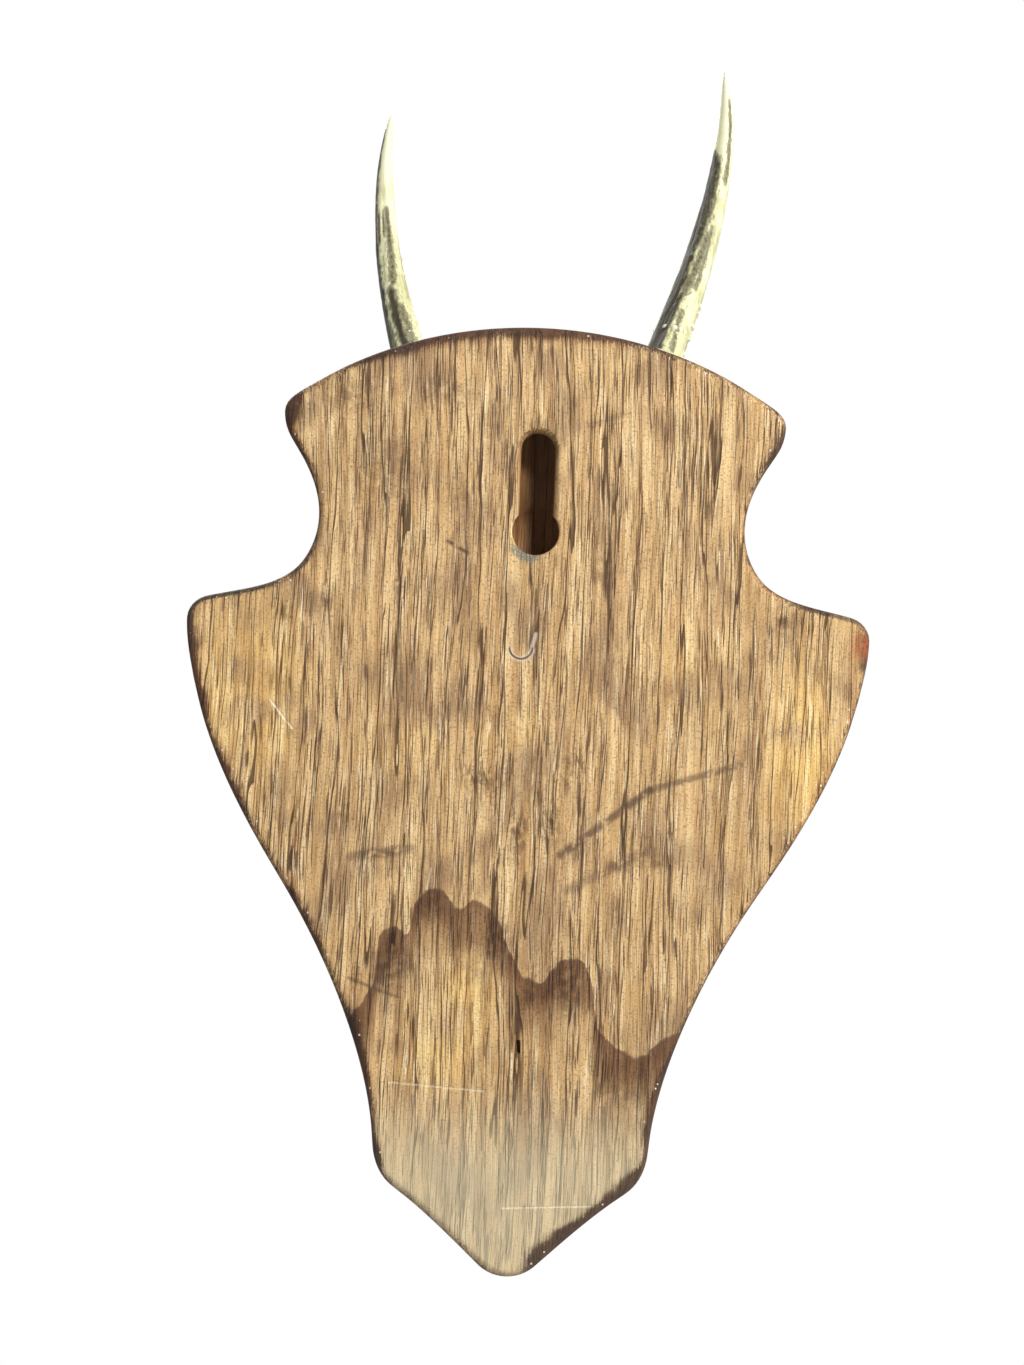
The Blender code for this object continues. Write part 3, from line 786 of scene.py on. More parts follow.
def horseshoe(put, mm, colour, height):
    """The scuff: the lower half of a ring 3.4 mm in radius, and a longer leg, pale with a dark floor."""
    sx, sz = SCUFF
    ring_at = put("Mapping", {"Vector": mm, "Location": (-sx, 0, -sz), "Scale": (1, 0, 1)})
    radius = put("VectorMath", {0: ring_at}, output="Value", operation="LENGTH")
    off = put("Math", {0: put("Math", {0: radius, 1: 3.4}, operation="SUBTRACT")}, operation="ABSOLUTE")
    z = put("SeparateXYZ", {0: ring_at}).node.outputs["Z"]
    half = between(put, z, 0.6, -0.8)
    leg = stroke(put, mm, (sx - 3.3, sz + 0.2), (sx - 4.3, sz + 4.0), 0.9)
    pale = put("Math", {0: product(put, between(put, off, 1.2, 0.3), half), 1: leg}, operation="MAXIMUM")
    dark = product(put, between(put, off, 0.42, 0.12), half)
    colour = layer(put, colour, "#d6c6b4", pale, 0.70)
    colour = layer(put, colour, "#54402f", dark, 0.85)
    return colour, put("Math", {0: dark, 1: -0.25, 2: height}, operation="MULTIPLY_ADD")


# %% [markdown]
# The front and the edge were wiped with a dark stain and given a thin varnish, and some of it ran a few
# millimetres over the rounded back edge. Inside the keyhole the wood is bare, with painted shade deeper in
# and painted light on the wall that faces the key light, and a few edges carry painted shadow. So the finish
# has three masks: the run at the rim, the stained wood, and the bored wood.


# %% Edge, front and keyhole
# A run is (x, z, width, height, how many mm further in the stain reaches there).
EDGE_RUNS = (
    (30, -4, 60, 14, 2.6), (-20, -2, 30, 10, 1.2), (74, -26, 8, 9, 4.0), (72, -44, 8, 14, 2.0),
    (94, -92, 16, 8, 1.6), (97, -108, 8, 20, 2.0), (-80, -88, 22, 6, 1.6), (-97, -92, 9, 8, 1.5),
    (88, -140, 12, 26, 1.8), (62, -176, 12, 26, 1.4), (48, -225, 10, 36, 2.4), (42, -246, 6, 10, 3.0),
    (-45, -234, 9, 26, 2.8), (-36, -254, 14, 12, 3.4), (-14, -270, 18, 10, 3.8), (-25, -263, 12, 9, 2.4),
    (-70, -34, 8, 10, 1.5),
)

# Painted shadow: near-black bands at the rim by the shoulders and the top horn, where the board's edge casts
# shade.
SHADED_EDGES = ((84, -84, 24, 9), (-78, -86, 28, 9), (60, -74, 12, 9), (82, -30, 6, 10))


def stained_edge(put, mm, colour, fibre):
    """Lays the stain run and painted edge shadow, the stained front, and bored wood with painted shade and
    light.
    """
    rim = put("Attribute", output="Fac", attribute_name="rim_mm")
    x = put("SeparateXYZ", {0: mm})
    y = x.node.outputs["Y"]
    ragged = put("TexNoise", {"Vector": mm, "Scale": 0.22, "Detail": 4.0})
    fine = put("TexNoise", {"Vector": mm, "Scale": 1.6, "Detail": 2.0})

    reach = put("Math", {0: ragged, 1: 3.0, 2: -0.4}, operation="MULTIPLY_ADD")
    for *place, more in EDGE_RUNS:
        wider = patch(put, mm, *place, 0.6)
        reach = put("Math", {0: wider, 1: more, 2: reach}, operation="MULTIPLY_ADD")
    short = put("Math", {0: rim, 1: reach}, operation="SUBTRACT")
    short = put("Math", {0: fibre, 1: 4.0, 2: short}, operation="MULTIPLY_ADD")
    tint = between(put, put("Math", {0: fine, 1: 2.0, 2: short}, operation="MULTIPLY_ADD"), 5.0, 0.5)
    red = put("TexNoise", {"Vector": mm, "Scale": 0.05, "Detail": 1.0})
    warm = layer(put, linear("#7d6a68"), "#9a6a54", between(put, red, 0.42, 0.60))
    colour = layer(put, colour, warm, tint, 0.85, "MULTIPLY")
    dark = between(put, put("Math", {0: fine, 1: 1.2, 2: short}, operation="MULTIPLY_ADD"), 2.6, 1.2)
    colour = layer(put, colour, "#3e2a22", dark, 0.70)
    # Painted shadow along the edge at each of these places.
    for place in SHADED_EDGES:
        shaded = product(put, patch(put, mm, *place, 0.5), between(put, rim, 1.9, 1.0),
                         between(put, fine, 0.30, 0.42))
        colour = layer(put, colour, "#24231d", shaded, 0.85)
    corner = patch(put, mm, -98.5, -90.5, 7, 6)
    colour = layer(put, colour, "#a8562f", product(put, corner, between(put, fine, 0.35, 0.5)), 0.75)

    chip = put("TexVoronoi", {"Vector": mm, "Scale": 0.55}, output="Distance")
    chance = chip.node.outputs["Color"]
    chips = product(put, between(put, chip, 0.22, 0.10), between(put, chance, 0.80, 0.86),
                    between(put, rim, 5.0, 1.5), between(put, y, -3.0, -2.0))
    colour = layer(put, colour, "#efe7da", chips, 0.8)

    front_stain = put("ValToRGB", {0: fibre}, ramp=((0.30, "#241308"), (0.50, "#3f2312"), (0.72, "#5e381d")))
    side = product(put, between(put, y, -1.4, -2.6), between(put, rim, 11.0, 9.0))
    stained = put("Math", {0: side, 1: between(put, y, -13.0, -14.0)}, operation="MAXIMUM")
    unstained = put("Math", {0: 1.0, 1: stained}, operation="SUBTRACT")
    bored = product(put, between(put, y, -0.25, -1.6), unstained, between(put, rim, 12.0, 14.0))
    colour = layer(put, colour, "#7c5530", bored, 0.60)
    # Painted shade: the bored wood gets darker further into the keyhole.
    colour = layer(put, colour, "#3f2311", product(put, bored, between(put, y, -3.0, -11.0)), 0.75)
    # Painted light: the keyhole's +X wall, which faces the key light, is lightened.
    lit_side = product(put, bored, between(put, x, -0.5, 5.5))
    colour = layer(put, colour, "#b07c49", lit_side, 0.60)
    hole = put("Mapping", {"Vector": mm, "Location": (1.2, 0, 60.0), "Scale": (1, 0, 1)})
    from_hole = put("VectorMath", {0: hole}, output="Value", operation="LENGTH")
    worn = product(put, patch(put, mm, 2.2, -66.8, 7.0, 4.2, 0.6), between(put, fine, 0.30, 0.50),
                   between(put, from_hole, 10.2, 8.6), between(put, y, -4.0, -1.5))
    colour = layer(put, colour, "#5f6a69", worn, 0.80)
    colour = layer(put, colour, "#3b4140", product(put, worn, between(put, from_hole, 7.6, 7.0)), 0.7)
    return layer(put, colour, front_stain, stained), stained


def oak_board():
    """Oak: rough sawn and bare on the back, so dull, and stained and varnished on the front, so glossier."""
    material, put, coat = new_material("oak_bare_back_stained_front")
    mm = board_millimetres(put)
    colour, height, fibre = oak_grain(put, mm)
    colour, height = weathered(put, mm, colour, height)
    colour, height = horseshoe(put, mm, colour, height)
    colour, stained = stained_edge(put, mm, colour, fibre)
    roughness = put("MapRange", {"Value": stained, "To Min": 0.78, "To Max": 0.34})
    bump = put("Bump", {"Height": height, "Strength": 1.0, "Distance": MM})
    coat({"Base Color": colour, "Roughness": roughness, "Normal": bump, "Specular IOR Level": 0.35})
    print(f"oak: {len(material.node_tree.nodes)} nodes")
    return material


finish_piece(board, "shield_board", oak_board())

# %% [markdown]
# ## The antlers
#
# An antler is bone that grew in one summer under a furry skin. Blood vessels in that skin left long
# furrows in it, and beads, called pearls, stand round its base, where a knobbly ring, the burr, sits on the
# stump. After the skin is rubbed off, dirt and bark stain the furrows and rubbing polishes the ridges. It
# is made as a tube along the CAD antler's own path: rings of points whose radius depends on how far along
# and how far round the point is. All changes go inwards near the tip, where there is no room to spare.

# %% The paths: x from the middle line, y, and height above the apex, in mm
ANTLERS = {
    "antler_left": dict(
        path=((38.2, -37.0, -9.5), (45.9, -56.0, 15.7), (54.5, -70.9, 45.5), (49.9, -72.0, 78.5)),
        beam=5.7, burr=9.4, seed=11),
    "antler_right": dict(
        path=((-36.9, -37.0, -8.9), (-46.4, -59.4, 18.1), (-63.6, -79.5, 62.2), (-58.9, -80.1, 98.9)),
        beam=6.5, burr=10.4, seed=23),
}
RINGS = 420
SIDES = 112
PEARLS = 46


def path_frames(path, steps):
    """Points at even distances along a cubic Bezier path, with the direction and two sideways axes at each.

    The point is (1-t)^3 a + 3(1-t)^2 t b + 3(1-t) t^2 c + t^3 d. The first sideways axis faces the wall.
    """
    a, b, c, d = (np.array(place) for place in path)
    t = np.linspace(0, 1, 4000)[:, None]
    curve = (1 - t) ** 3 * a + 3 * (1 - t) ** 2 * t * b + 3 * (1 - t) * t**2 * c + t**3 * d
    along = np.r_[0, np.cumsum(np.linalg.norm(np.diff(curve, axis=0), axis=1))]
    even = along[-1] * steps
    centre = np.stack([np.interp(even, along, curve[:, i]) for i in range(3)], axis=1)
    heading = np.gradient(centre, even, axis=0)
    heading /= np.linalg.norm(heading, axis=1, keepdims=True)
    wallward = np.array([0.0, 1.0, 0.0]) - heading * heading[:, 1:2]
    wallward /= np.linalg.norm(wallward, axis=1, keepdims=True)
    return centre, heading, wallward, np.cross(heading, wallward), even


# %% [markdown]
# The stains sit where the furrows are, but some are known: a dark furrow up the wall side of the left
# antler, two along the outer side of the right one. The band along the +X edge of each antler, on the side
# away from the key light, is partly stain and partly painted shade. Each is a line of places, how far along
# and how far across the beam (-1 is its +X edge and 1 its -X edge, seen from the wall), with a width in
# degrees.

# %% Known stains and painted shade
STAINS_AND_SHADE = {
    "antler_left": (
        ((0.00, 0.18), (0.10, -0.08), (0.20, -0.17), (0.33, -0.20), 19, 1.0),
        ((0.34, 0.00), (0.42, 0.22), (0.52, 0.28), (0.66, 0.20), 20, 0.7),
        ((0.02, 0.50), (0.10, 0.45), (0.18, 0.35), (0.26, 0.25), 24, 0.65),
        ((0.52, -0.62), (0.56, -0.60), (0.60, -0.58), (0.64, -0.58), 8, 0.8),
        ((0.55, -0.18), (0.57, -0.16), (0.60, -0.16), (0.63, -0.15), 7, 0.8),
        ((0.00, -0.60), (0.06, -0.65), (0.12, -0.72), (0.22, -0.85), 22, 0.55),
        # Partly stain, partly painted shade: the dark band along the +X edge, away from the key light.
        ((0.00, -0.90), (0.30, -0.90), (0.60, -0.88), (0.94, -0.88), 19, 1.25),
    ),
    "antler_right": (
        # Partly stain, partly painted shade: the dark band along the +X edge, away from the key light.
        ((0.00, -0.74), (0.25, -0.80), (0.50, -0.84), (0.75, -0.90), 24, 2.2),
        ((0.00, -0.42), (0.12, -0.46), (0.20, -0.44), (0.28, -0.34), 12, 1.0),
        ((0.06, 0.30), (0.12, 0.16), (0.18, 0.02), (0.22, 0.02), 12, 0.65),
        ((0.26, -0.25), (0.36, -0.05), (0.44, 0.04), (0.50, 0.08), 18, 0.7),
        ((0.30, 0.35), (0.38, 0.36), (0.46, 0.32), (0.52, 0.26), 13, 0.6),
        ((0.44, -0.50), (0.55, -0.40), (0.62, -0.40), (0.74, -0.50), 26, 0.9),
        ((0.66, 0.55), (0.75, 0.58), (0.84, 0.55), (0.92, 0.45), 20, 0.7),
    ),
}


# %% The antler's skin
def stains_and_shade(name, s, turn):
    """Stain and painted shade at each point: the largest of strength * exp(-(angle from the line / width)^2).
    """
    total = np.zeros(turn.shape)
    grit = lattice_noise(turn * 40 / math.tau, s * 60, wrap=40, seed=71)
    for *places, width, strength in STAINS_AND_SHADE[name]:
        along, across = np.array(places).T
        centre = np.arcsin(np.interp(s, along, across))
        away = np.degrees(np.abs((turn - centre + math.pi) % math.tau - math.pi))
        first, last = along[0], along[-1]
        ends = smoothstep(first - 0.03, first + 0.02, s) * smoothstep(last + 0.03, last - 0.02, s)
        total = np.maximum(total, strength * ends * np.exp(-((away / (width * (0.65 + 0.7 * grit))) ** 2)))
    return total


def antler_skin(name):
    """Rings of points, and for each point its stain and painted shade, its furrow and how far along the beam
    it is.

    radius = beam (1 - s/2) sqrt(1 - s^4) + burr - furrows + pearls. The burr is exp(-((d - 3.2)/2)^2),
    knobbled round its rim, and a pearl is a bump exp(-(distance/size)^2) of the surface itself.
    """
    sizes = ANTLERS[name]
    steps = 1 - (1 - np.linspace(0, 1, RINGS)) ** 1.15
    centre, heading, wallward, aside, distance = path_frames(sizes["path"], steps)
    turn = np.linspace(0, math.tau, SIDES, endpoint=False)[None, :]
    s, d = steps[:, None], distance[:, None]
    seed = sizes["seed"]

    wander = 0.5 * (lattice_noise(s * 5, 0 * s, seed=seed) - 0.5)
    bent = turn + wander
    coarse = lattice_noise(bent * 13 / math.tau, s * 6, wrap=13, seed=seed + 1)
    fine = lattice_noise(bent * 34 / math.tau, s * 16, wrap=34, seed=seed + 2)
    furrow = smoothstep(0.45, 0.85, coarse) * 0.65 + smoothstep(0.5, 0.9, fine) * 0.35
    stain_and_shade = stains_and_shade(name, s, turn)
    old = 1 - smoothstep(0.55, 0.9, s)
    beam = np.maximum(sizes["beam"] * (1 - s / 2) * np.sqrt(1 - s**4), 0.35)
    depth = beam * (0.085 * furrow * old + 0.045 * stain_and_shade)

    knobs = lattice_noise(turn * 17 / math.tau, d / 2.2, wrap=17, seed=seed + 3)
    burr = (sizes["burr"] - sizes["beam"]) * np.exp(-(((d - 3.2) / 2.0) ** 2)) * (0.72 + 0.28 * knobs)
    rng = np.random.default_rng(seed)
    pearls = np.zeros(furrow.shape)
    for _ in range(PEARLS):
        at = rng.uniform(6.5, 34) if rng.random() < 0.75 else rng.uniform(6.5, 50)
        angle = rng.normal(1.7, 0.9)
        size = rng.uniform(0.45, 0.95)
        off_round = ((turn - angle + math.pi) % math.tau - math.pi) * beam
        pearls = np.maximum(pearls, size * 0.8 * np.exp(-(off_round**2 + (d - at) ** 2) / size**2))
    radius = beam * (0.985 + 0.015 * np.cos(2 * turn + 0.8)) - depth + burr + pearls * (s < 0.6)
    ring = np.cos(turn)[..., None] * wallward[:, None] + np.sin(turn)[..., None] * aside[:, None]
    points = (centre[:, None] + radius[..., None] * ring) * MM + (MIDDLE_X, 0, APEX_Z)
    fields = {"stain_and_shade": stain_and_shade, "furrow": furrow * old, "pearl": pearls / 0.8, "along": s + 0 * turn}
    return points, fields


# %% [markdown]
# Clean antler is ivory with a touch of green from bark and lichen, and furrows are olive brown to nearly
# black. The tip is polished by rubbing, so it is paler and smoother there.


# %% Antler finish
BONE_IOR = 1.54


def antler_horn():
    """Bone antler: dull and porous in the furrows, waxy on the ridges, polished at the tip."""
    material, put, coat = new_material("antler_bone_weathered")
    place = put("TexCoord", output="Object")
    mm = put("Mapping", {"Vector": place, "Scale": (1 / MM, 1 / MM, 1 / MM)})
    stain_and_shade, furrow, pearl, along = (put("Attribute", output="Fac", attribute_name=field)
                                   for field in ("stain_and_shade", "furrow", "pearl", "along"))
    grit = put("TexNoise", {"Vector": mm, "Scale": 1.1, "Detail": 4.0, "Roughness": 0.7})
    drawn = put("Mapping", {"Vector": mm, "Scale": (1.3, 1.3, 0.22)})
    thread = put("TexNoise", {"Vector": drawn, "Scale": 1.0, "Detail": 4.0, "Roughness": 0.65})
    cloud = put("TexNoise", {"Vector": mm, "Scale": 0.12, "Detail": 2.0})

    clean = put("ValToRGB", {0: cloud}, ramp=((0.35, "#c3c193"), (0.5, "#d4d3a8"), (0.62, "#e2e1bb")))
    clean = layer(put, clean, "#e4e2c2", between(put, along, 0.6, 0.95), 0.8)
    greened = product(put, between(put, along, 0.30, 0.0), between(put, cloud, 0.42, 0.58))
    colour = layer(put, clean, "#8b8a55", greened, 0.45)
    streak = product(put, between(put, thread, 0.54, 0.64), between(put, along, 0.85, 0.35))
    colour = layer(put, colour, "#7d7650", streak, 0.55)
    colour = layer(put, colour, "#6d6543", put("Math", {0: furrow, 1: thread}, operation="MULTIPLY"), 0.9)
    speck = put("Math", {0: grit, 1: 0.5, 2: put("Math", {0: thread, 1: 0.8}, operation="MULTIPLY")},
                operation="MULTIPLY_ADD")
    dirt_and_shade = put("Math", {0: speck, 1: 1.0, 2: stain_and_shade}, operation="MULTIPLY_ADD")
    # The darkest layers fall where the antler's stain field is strongest, which holds painted shade along the
    # +X edges.
    colour = layer(put, colour, "#6b6549", between(put, dirt_and_shade, 0.82, 1.12), 0.80)
    colour = layer(put, colour, "#2b2418", between(put, dirt_and_shade, 1.10, 1.60), 0.92)
    colour = layer(put, colour, "#f4f0dc", between(put, pearl, 0.25, 0.7), 0.8)
    ends = {"From Min": 0.5, "From Max": 1.2, "To Min": 0.42, "To Max": 0.75}
    roughness = put("MapRange", {"Value": dirt_and_shade, **ends})
    relief = put("Math", {0: thread, 1: 0.12, 2: grit}, operation="MULTIPLY_ADD")
    bump = put("Bump", {"Height": relief, "Strength": 0.6, "Distance": 0.12 * MM})
    coat({"Base Color": colour, "Roughness": roughness, "Normal": bump, "IOR": BONE_IOR})
    return material


horn = antler_horn()
for name in ANTLERS:
    skin, fields = antler_skin(name)
    antler = mesh_object(f"{name}_grown", *capped_rings(skin))
    for field, values in fields.items():
        ends = [values[0].mean(), values[-1].mean()]
        set_field(antler, field, np.r_[values.ravel(), ends])
    finish_piece(antler, name, horn)

# %% [markdown]
# ## The skull plate
#
# The antlers were not pulled off: the top of the skull was sawn off with them, boiled and bleached. It is a
# shallow dome of bone with a stump for each antler, and the saw passed through the eye sockets, which
# leaves a hollow on each side. The dome and the stumps are worked out as rings, joined, and remeshed to
# small squares so that their joints can be smoothed as bone is. The saw cuts come last.

# %% Sizes of the plate
PLATE_FACE_Y = -19.3 * MM
PLATE_CENTRE = np.array([MIDDLE_X, PLATE_FACE_Y + 9 * MM, APEX_Z - 42 * MM])
DOME_HALF = np.array([50, 22, 36]) * MM
BONE_THICK = 5 * MM
STUMP = ((0.25, 1.0), (4, 0.94), (10, 0.98), (16, 1.15), (24, 1.3))
STUMP_RADIUS = 7.2


def rings_about(centre, heading, first_side, radii_a, radii_b, sides):
    """Elliptic rings, one for each centre: point = centre + a cos(turn) side + b sin(turn) other side."""
    second_side = np.cross(heading, first_side)
    turn = np.linspace(0, math.tau, sides, endpoint=False)[None, :, None]
    a, b = radii_a[:, None, None], radii_b[:, None, None]
    across = a * np.cos(turn) * first_side + b * np.sin(turn) * second_side
    return centre[:, None] + across


def dome_skin(half):
    """An ellipsoid in rings from the wall side to the room side."""
    angle = np.linspace(0.02, math.pi - 0.02, 110)
    forward = np.array([0.0, -1.0, 0.0])
    centre = PLATE_CENTRE - forward * (half[1] * np.cos(angle))[:, None]
    up = np.array([0.0, 0.0, 1.0])
    tall, wide = half[2] * np.sin(angle), half[0] * np.sin(angle)
    return capped_rings(rings_about(centre, forward, up, tall, wide, 200))


def stump_skin(name):
    """A stump under one antler: rings back along the beam's own line, waisted, then flaring into the dome."""
    centre, heading, wallward, _, _ = path_frames(ANTLERS[name]["path"], np.linspace(0, 1, 50))
    seal, heading, wallward = centre[0], heading[0], wallward[0]
    back, swell = np.array(STUMP).T
    steps = np.linspace(back[-1], back[0], 60)
    radii = STUMP_RADIUS * np.interp(steps, back, swell) * MM
    middle = (seal - heading * steps[:, None]) * MM + (MIDDLE_X, 0, APEX_Z)
    return capped_rings(rings_about(middle, heading, wallward, radii, radii, 72))


# %% Join the dome and the stumps
plate = mesh_object("skull_plate_of_bone", *dome_skin(DOME_HALF))
for name in ANTLERS:
    cut(plate, [mesh_object(f"stump_{name}", *stump_skin(name))], "UNION")
with_modifiers(plate, ("REMESH", dict(mode="VOXEL", voxel_size=0.75 * MM)),
               ("SMOOTH", dict(factor=0.5, iterations=8)))
print(f"plate: {len(plate.data.vertices)} points before the saw")

# %% [markdown]
# The frontal bones meet in a seam that wanders like a river down the middle line, with a second one
# across behind the stumps. A seam is a groove, so its distance from each point gives both the depth and,
# later, the colour. Bone is pushed in, never out.


# %% Seams and pits
# How deep each mark on the bone goes, in mm.
WAVE_DEEP, PIT_DEEP, SEAM_DEEP = 0.45, 0.15, 0.35


def seam_strength(points):
    """1 on a seam, 0 beyond 0.75 mm: |x - wander(z)| for the long seam, |z - wander(x)| for the cross one."""
    x, z = (points[:, 0] - MIDDLE_X) / MM, (points[:, 2] - APEX_Z) / MM
    flat = 0 * x
    fine, slow = lattice_noise(z / 1.6, flat, seed=5), lattice_noise(z / 9, flat, seed=6)
    long_seam = np.abs(x - 2.6 * (fine - 0.5) - 1.5 * (slow - 0.5))
    arch = -17 + 9 * (x / 40) ** 2
    cross_seam = np.abs(z - arch - 2.8 * (lattice_noise(x / 1.7, flat, seed=8) - 0.5))
    cross_seam += 99 * (np.abs(x) > 26)
    return 1 - smoothstep(0.15, 0.75, np.minimum(long_seam, cross_seam))


def age_bone(piece):
    """Pushes each point inwards along its normal: shallow waves, pits and the seams."""
    points = points_of(piece)
    normals = np.empty(points.size)
    piece.data.vertices.foreach_get("normal", normals)
    normals = normals.reshape(-1, 3)
    x, y, z = points.T / MM
    waves = lattice_noise(x / 9 + 0.3 * y, z / 9, seed=31) * 0.6
    waves = waves + lattice_noise(x / 3.1, z / 3.1 + 0.4 * y, seed=32) * 0.25
    pits = smoothstep(0.78, 0.95, lattice_noise(x / 1.3 + y, z / 1.3, seed=33))
    outer = normals[:, 1] < -0.3
    depth = WAVE_DEEP * waves + PIT_DEEP * pits + SEAM_DEEP * seam_strength(points) * outer
    points -= normals * depth[:, None] * MM
    piece.data.vertices.foreach_set("co", points.ravel())
    piece.data.update()


age_bone(plate)

# %% [markdown]
# The saw, the brain case and the two eye sockets are closed shapes taken away from the bone: a slab behind
# the sawn face, a smaller dome for the brain case, and turned shapes. A turned shape is a profile of radius
# against y, swept round a line along Y.


# %% Saw, brain case and sockets
def turned(name, x, z, profile, sides=48):
    """A profile of (radius, y) swept round a line along Y: point = (x + r sin, y, z + r cos)."""
    radii, y = np.array(profile).T
    forward = np.array([0.0, -1.0, 0.0])
    middle = np.stack([np.full(len(y), x), y, np.full(len(y), z)], axis=1)
    rings = rings_about(middle, forward, np.array([0.0, 0.0, 1.0]), radii, radii, sides)
    return mesh_object(name, *capped_rings(rings))


def block(name, low, high):
    """A box between two corners."""
    corners = np.array([[(low, high)[i][0], (low, high)[j][1], (low, high)[k][2]]
                        for i in (0, 1) for j in (0, 1) for k in (0, 1)])
    faces = [(0, 1, 3, 2), (4, 6, 7, 5), (0, 4, 5, 1), (2, 3, 7, 6), (0, 2, 6, 4), (1, 5, 7, 3)]
    return mesh_object(name, corners, faces)


def dome_surface(x, z):
    """The y of the dome's outer surface at a point of the plate."""
    across, up = (x - PLATE_CENTRE[0]) / DOME_HALF[0], (z - PLATE_CENTRE[2]) / DOME_HALF[2]
    return PLATE_CENTRE[1] - DOME_HALF[1] * math.sqrt(1 - across**2 - up**2)


SEAT_DEEP, SEAT_FLAT, SEAT_EDGE = 1.4 * MM, 4.4 * MM, 5.4 * MM


def face_screw_seats(piece):
    """Faces the dome flat round each screw: y = seat within SEAT_FLAT of its axis, unmoved past SEAT_EDGE."""
    points = points_of(piece)
    for x, z in screw_spots.values():
        seat = dome_surface(x, z) + SEAT_DEEP
        away = np.hypot(points[:, 0] - x, points[:, 2] - z)
        flat = (1 - smoothstep(SEAT_FLAT, SEAT_EDGE, away)) * (points[:, 1] < seat)
        points[:, 1] += flat * (seat - points[:, 1])
    piece.data.vertices.foreach_set("co", points.ravel())
    piece.data.update()


SOCKET_FLARE = ((13.5, -1), (14.2, 2), (15, 4), (17, 8), (22, 14))
tools = [block("cut_behind", (-0.1, PLATE_FACE_Y, -0.2), (0.1, 0.1, 0.2)),
         mesh_object("cut_hollow", *dome_skin(DOME_HALF - BONE_THICK))]
for side in (-1, 1):
    socket_x, socket_z = MIDDLE_X + side * 42 * MM, PLATE_CENTRE[2] - 21 * MM
    flare = [(radius * MM, PLATE_FACE_Y - forward * MM) for radius, forward in SOCKET_FLARE]
    tools.append(turned("cut_socket", socket_x, socket_z, flare))
face_screw_seats(plate)
cut(plate, tools)
set_field(plate, "seam", seam_strength(points_of(plate)))


# %% [markdown]
# Boiled bone is cream with fat left in it, which yellows, and brown dirt stays in the seams and pits. The
# sawn face is flat against the board and hardly seen.


# %% Bone finish
def skull_bone():
    """Bone, boiled and bleached: dull, chalky cream with fine pores 0.4 mm across."""
    material, put, coat = new_material("skull_bone_boiled")
    mm = board_millimetres(put)
    seam = put("Attribute", output="Fac", attribute_name="seam")
    cloud = put("TexNoise", {"Vector": mm, "Scale": 0.07, "Detail": 4.0})
    grit = put("TexNoise", {"Vector": mm, "Scale": 0.9, "Detail": 4.0, "Roughness": 0.7})
    pores = put("TexVoronoi", {"Vector": mm, "Scale": 0.9}, output="Distance")
    pore = between(put, pores, 0.26, 0.10)
    colour = put("ValToRGB", {0: cloud}, ramp=((0.33, "#b89c6c"), (0.5, "#d6c79f"), (0.66, "#e6dcc0")))
    colour = layer(put, colour, "#8c6d44", between(put, grit, 0.60, 0.74), 0.5)
    colour = layer(put, colour, "#6b5234", pore, 0.55)
    colour = layer(put, colour, "#4f3b25", seam, 0.8)
    height = put("Math", {0: pore, 1: -0.5, 2: grit}, operation="MULTIPLY_ADD")
    bump = put("Bump", {"Height": height, "Strength": 0.7, "Distance": 0.15 * MM})
    ends = {"From Min": 0.3, "From Max": 0.7, "To Min": 0.5, "To Max": 0.72}
    roughness = put("MapRange", {"Value": grit, **ends})
    coat({"Base Color": colour, "Roughness": roughness, "Normal": bump, "IOR": BONE_IOR})
    return material


finish_piece(plate, "skull_plate", skull_bone())

# %% [markdown]
# ## The screws
#
# Three slotted round-head wood screws hold the plate. Such a head is turned in a lathe and its slot is
# sawn, so it is made in the same way: a swept profile, less a thin block. Each slot stands as it was left
# when the screw was tight.

# %% Turned screws
HEAD_RADIUS = 3.9 * MM
HEAD_HEIGHT = 2.7 * MM
HEAD_RIM = 0.25 * MM
SHANK_RADIUS = 1.9 * MM
SLOT_WIDE = 1.0 * MM
SLOT_TURN = {"screw_top": 18, "screw_left": 71, "screw_right": -34}


def turned_screw(name):
    """Profile from the point to the top of the head: a cone, a straight shank and a dome (sin a, cos a)."""
    (x, z), (low, high) = screw_spots[name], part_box(name)
    tip, top = high[1], low[1]
    under = top + HEAD_HEIGHT
    dome = np.linspace(math.pi / 2, 0.03, 16)
    rise = HEAD_HEIGHT - HEAD_RIM
    profile = [(0.2 * MM, tip), (SHANK_RADIUS, tip - 4 * MM), (SHANK_RADIUS, under),
               (HEAD_RADIUS * 0.96, under)]
    profile += [(HEAD_RADIUS * math.sin(a), under - HEAD_RIM - rise * math.cos(a)) for a in dome]
    piece = turned(f"{name}_brass", x, z, profile, 56)
    wide = block("cut_slot", (-8 * MM, -1.25 * MM, -SLOT_WIDE / 2), (8 * MM, 4 * MM, SLOT_WIDE / 2))
    turn = Matrix.Rotation(math.radians(SLOT_TURN[name]), 4, "Y")
    wide.data.transform(Matrix.Translation((x, top, z)) @ Matrix.Rotation(math.pi, 4, "Z") @ turn)
    cut(piece, [wide])
    return piece


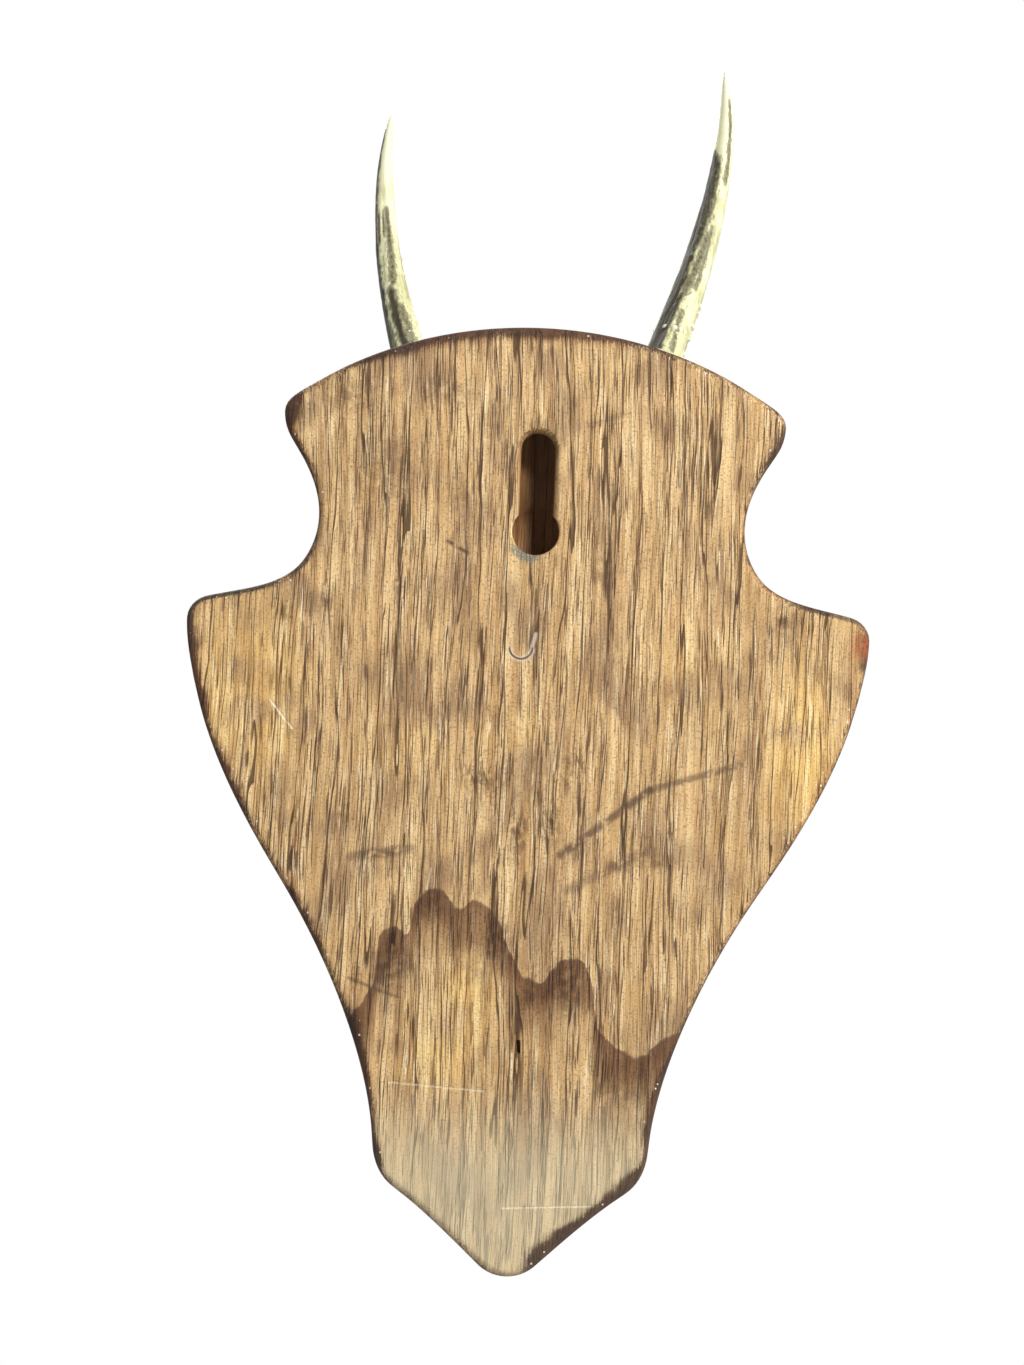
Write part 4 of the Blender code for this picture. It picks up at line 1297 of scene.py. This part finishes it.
def aged_brass():
    """Brass, turned and left to age: a warm metal, brown where tarnish has settled, brighter where worn."""
    material, put, coat = new_material("brass_turned_and_tarnished")
    mm = board_millimetres(put)
    tarnish = put("TexNoise", {"Vector": mm, "Scale": 0.55, "Detail": 5.0, "Roughness": 0.65})
    fine = put("TexNoise", {"Vector": mm, "Scale": 4.0, "Detail": 2.0})
    colour = put("ValToRGB", {0: tarnish}, ramp=((0.36, "#d0aa62"), (0.52, "#a17c40"), (0.68, "#5b4426")))
    ends = {"From Min": 0.35, "From Max": 0.7, "To Min": 0.26, "To Max": 0.6}
    roughness = put("MapRange", {"Value": tarnish, **ends})
    bump = put("Bump", {"Height": fine, "Strength": 0.4, "Distance": 0.04 * MM})
    coat({"Base Color": colour, "Roughness": roughness, "Normal": bump, "Metallic": 1.0})
    return material


brass = aged_brass()
for name in screw_spots:
    screw = turned_screw(name)
    screw.data.shade_smooth()
    finish_piece(screw, name, brass)

# %% [markdown]
# ## Torn fibres at the keyhole
#
# The bit that cut the slot was blunt and left a fringe of torn fibres on the slot's upper edge. Each one is
# a thin three-sided spike, and they are too many to place by hand, so all are worked out as one array.

# %% Fibres
FIBRES = 90
SLOT_RIM = 6.35 * MM


def torn_fibres():
    """Spikes from the rim of the slot's round end: tip = rim(angle) + length * (lean - outwards)."""
    rng = np.random.default_rng(4)
    angle = rng.uniform(-0.15, math.pi + 0.15, FIBRES)
    length = rng.uniform(0.3, 1.5, FIBRES) * MM
    outwards = np.stack([np.cos(angle), 0 * angle, np.sin(angle)], axis=1)
    root = outwards * SLOT_RIM
    root[:, 1] -= rng.uniform(0.1, 0.5, FIBRES) * MM
    lean = [rng.normal(0, 0.25, FIBRES), rng.uniform(-0.5, 0.02, FIBRES), rng.normal(-0.2, 0.3, FIBRES)]
    lean = np.stack(lean, axis=1)
    tip = root + (lean - outwards) * length[:, None]
    wide = rng.uniform(0.06, 0.14, FIBRES)[:, None] * MM
    aside = np.stack([np.sin(angle), 0 * angle, -np.cos(angle)], axis=1)
    deep = np.array([0.0, -1.0, 0.0])
    corners = np.stack([root + aside * wide, root - aside * wide, root + deep * wide * 1.6, tip], axis=1)
    start = 4 * np.arange(FIBRES)[:, None, None]
    faces = (start + np.array([(0, 2, 1), (0, 1, 3), (1, 2, 3), (2, 0, 3)])).reshape(-1, 3)
    return corners, faces


def torn_oak():
    """Torn oak fibres: raw wood, paler than the sawn face, and dull."""
    material, put, coat = new_material("oak_torn_fibres")
    mm = board_millimetres(put)
    tone = put("TexNoise", {"Vector": mm, "Scale": 1.2, "Detail": 2.0})
    colour = put("ValToRGB", {0: tone}, ramp=((0.35, "#6e4f33"), (0.5, "#a5824f"), (0.65, "#d3b481")))
    coat({"Base Color": colour, "Roughness": 0.85})
    return material


fringe = mesh_object("torn_fibres", *torn_fibres())
fringe.data.materials.append(torn_oak())
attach(fringe, "root")

# %% [markdown]
# ## The floor
#
# Painted studio floor: pale and matt, with a faint mottle so that it does not look like paper.

# %% Floor finish
paint, put_paint, coat_floor = new_material("floor_paint_matt")
place = put_paint("TexCoord", output="Object")
mottle = put_paint("TexNoise", {"Vector": place, "Scale": 3.0, "Detail": 3.0})
paint_colour = put_paint("ValToRGB", {0: mottle}, ramp=((0.3, "#d9d8d4"), (0.7, "#e4e3e0")))
coat_floor({"Base Color": paint_colour, "Roughness": 0.9})
floor.data.materials.append(paint)

# %% [markdown]
# ## Finish
#
# The sizes of the CAD model's box and of the visual model's box are printed. The visual model
# must fill the CAD model's box and not leave it.

# %% Sizes
boxes = {"cad": cad_box, "visual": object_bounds()}
boxes = {label: [list(map(float, corner)) for corner in box] for label, box in boxes.items()}
for label, (low, high) in boxes.items():
    print(label, [round((b - a) / MM, 1) for a, b in zip(low, high)], "mm")
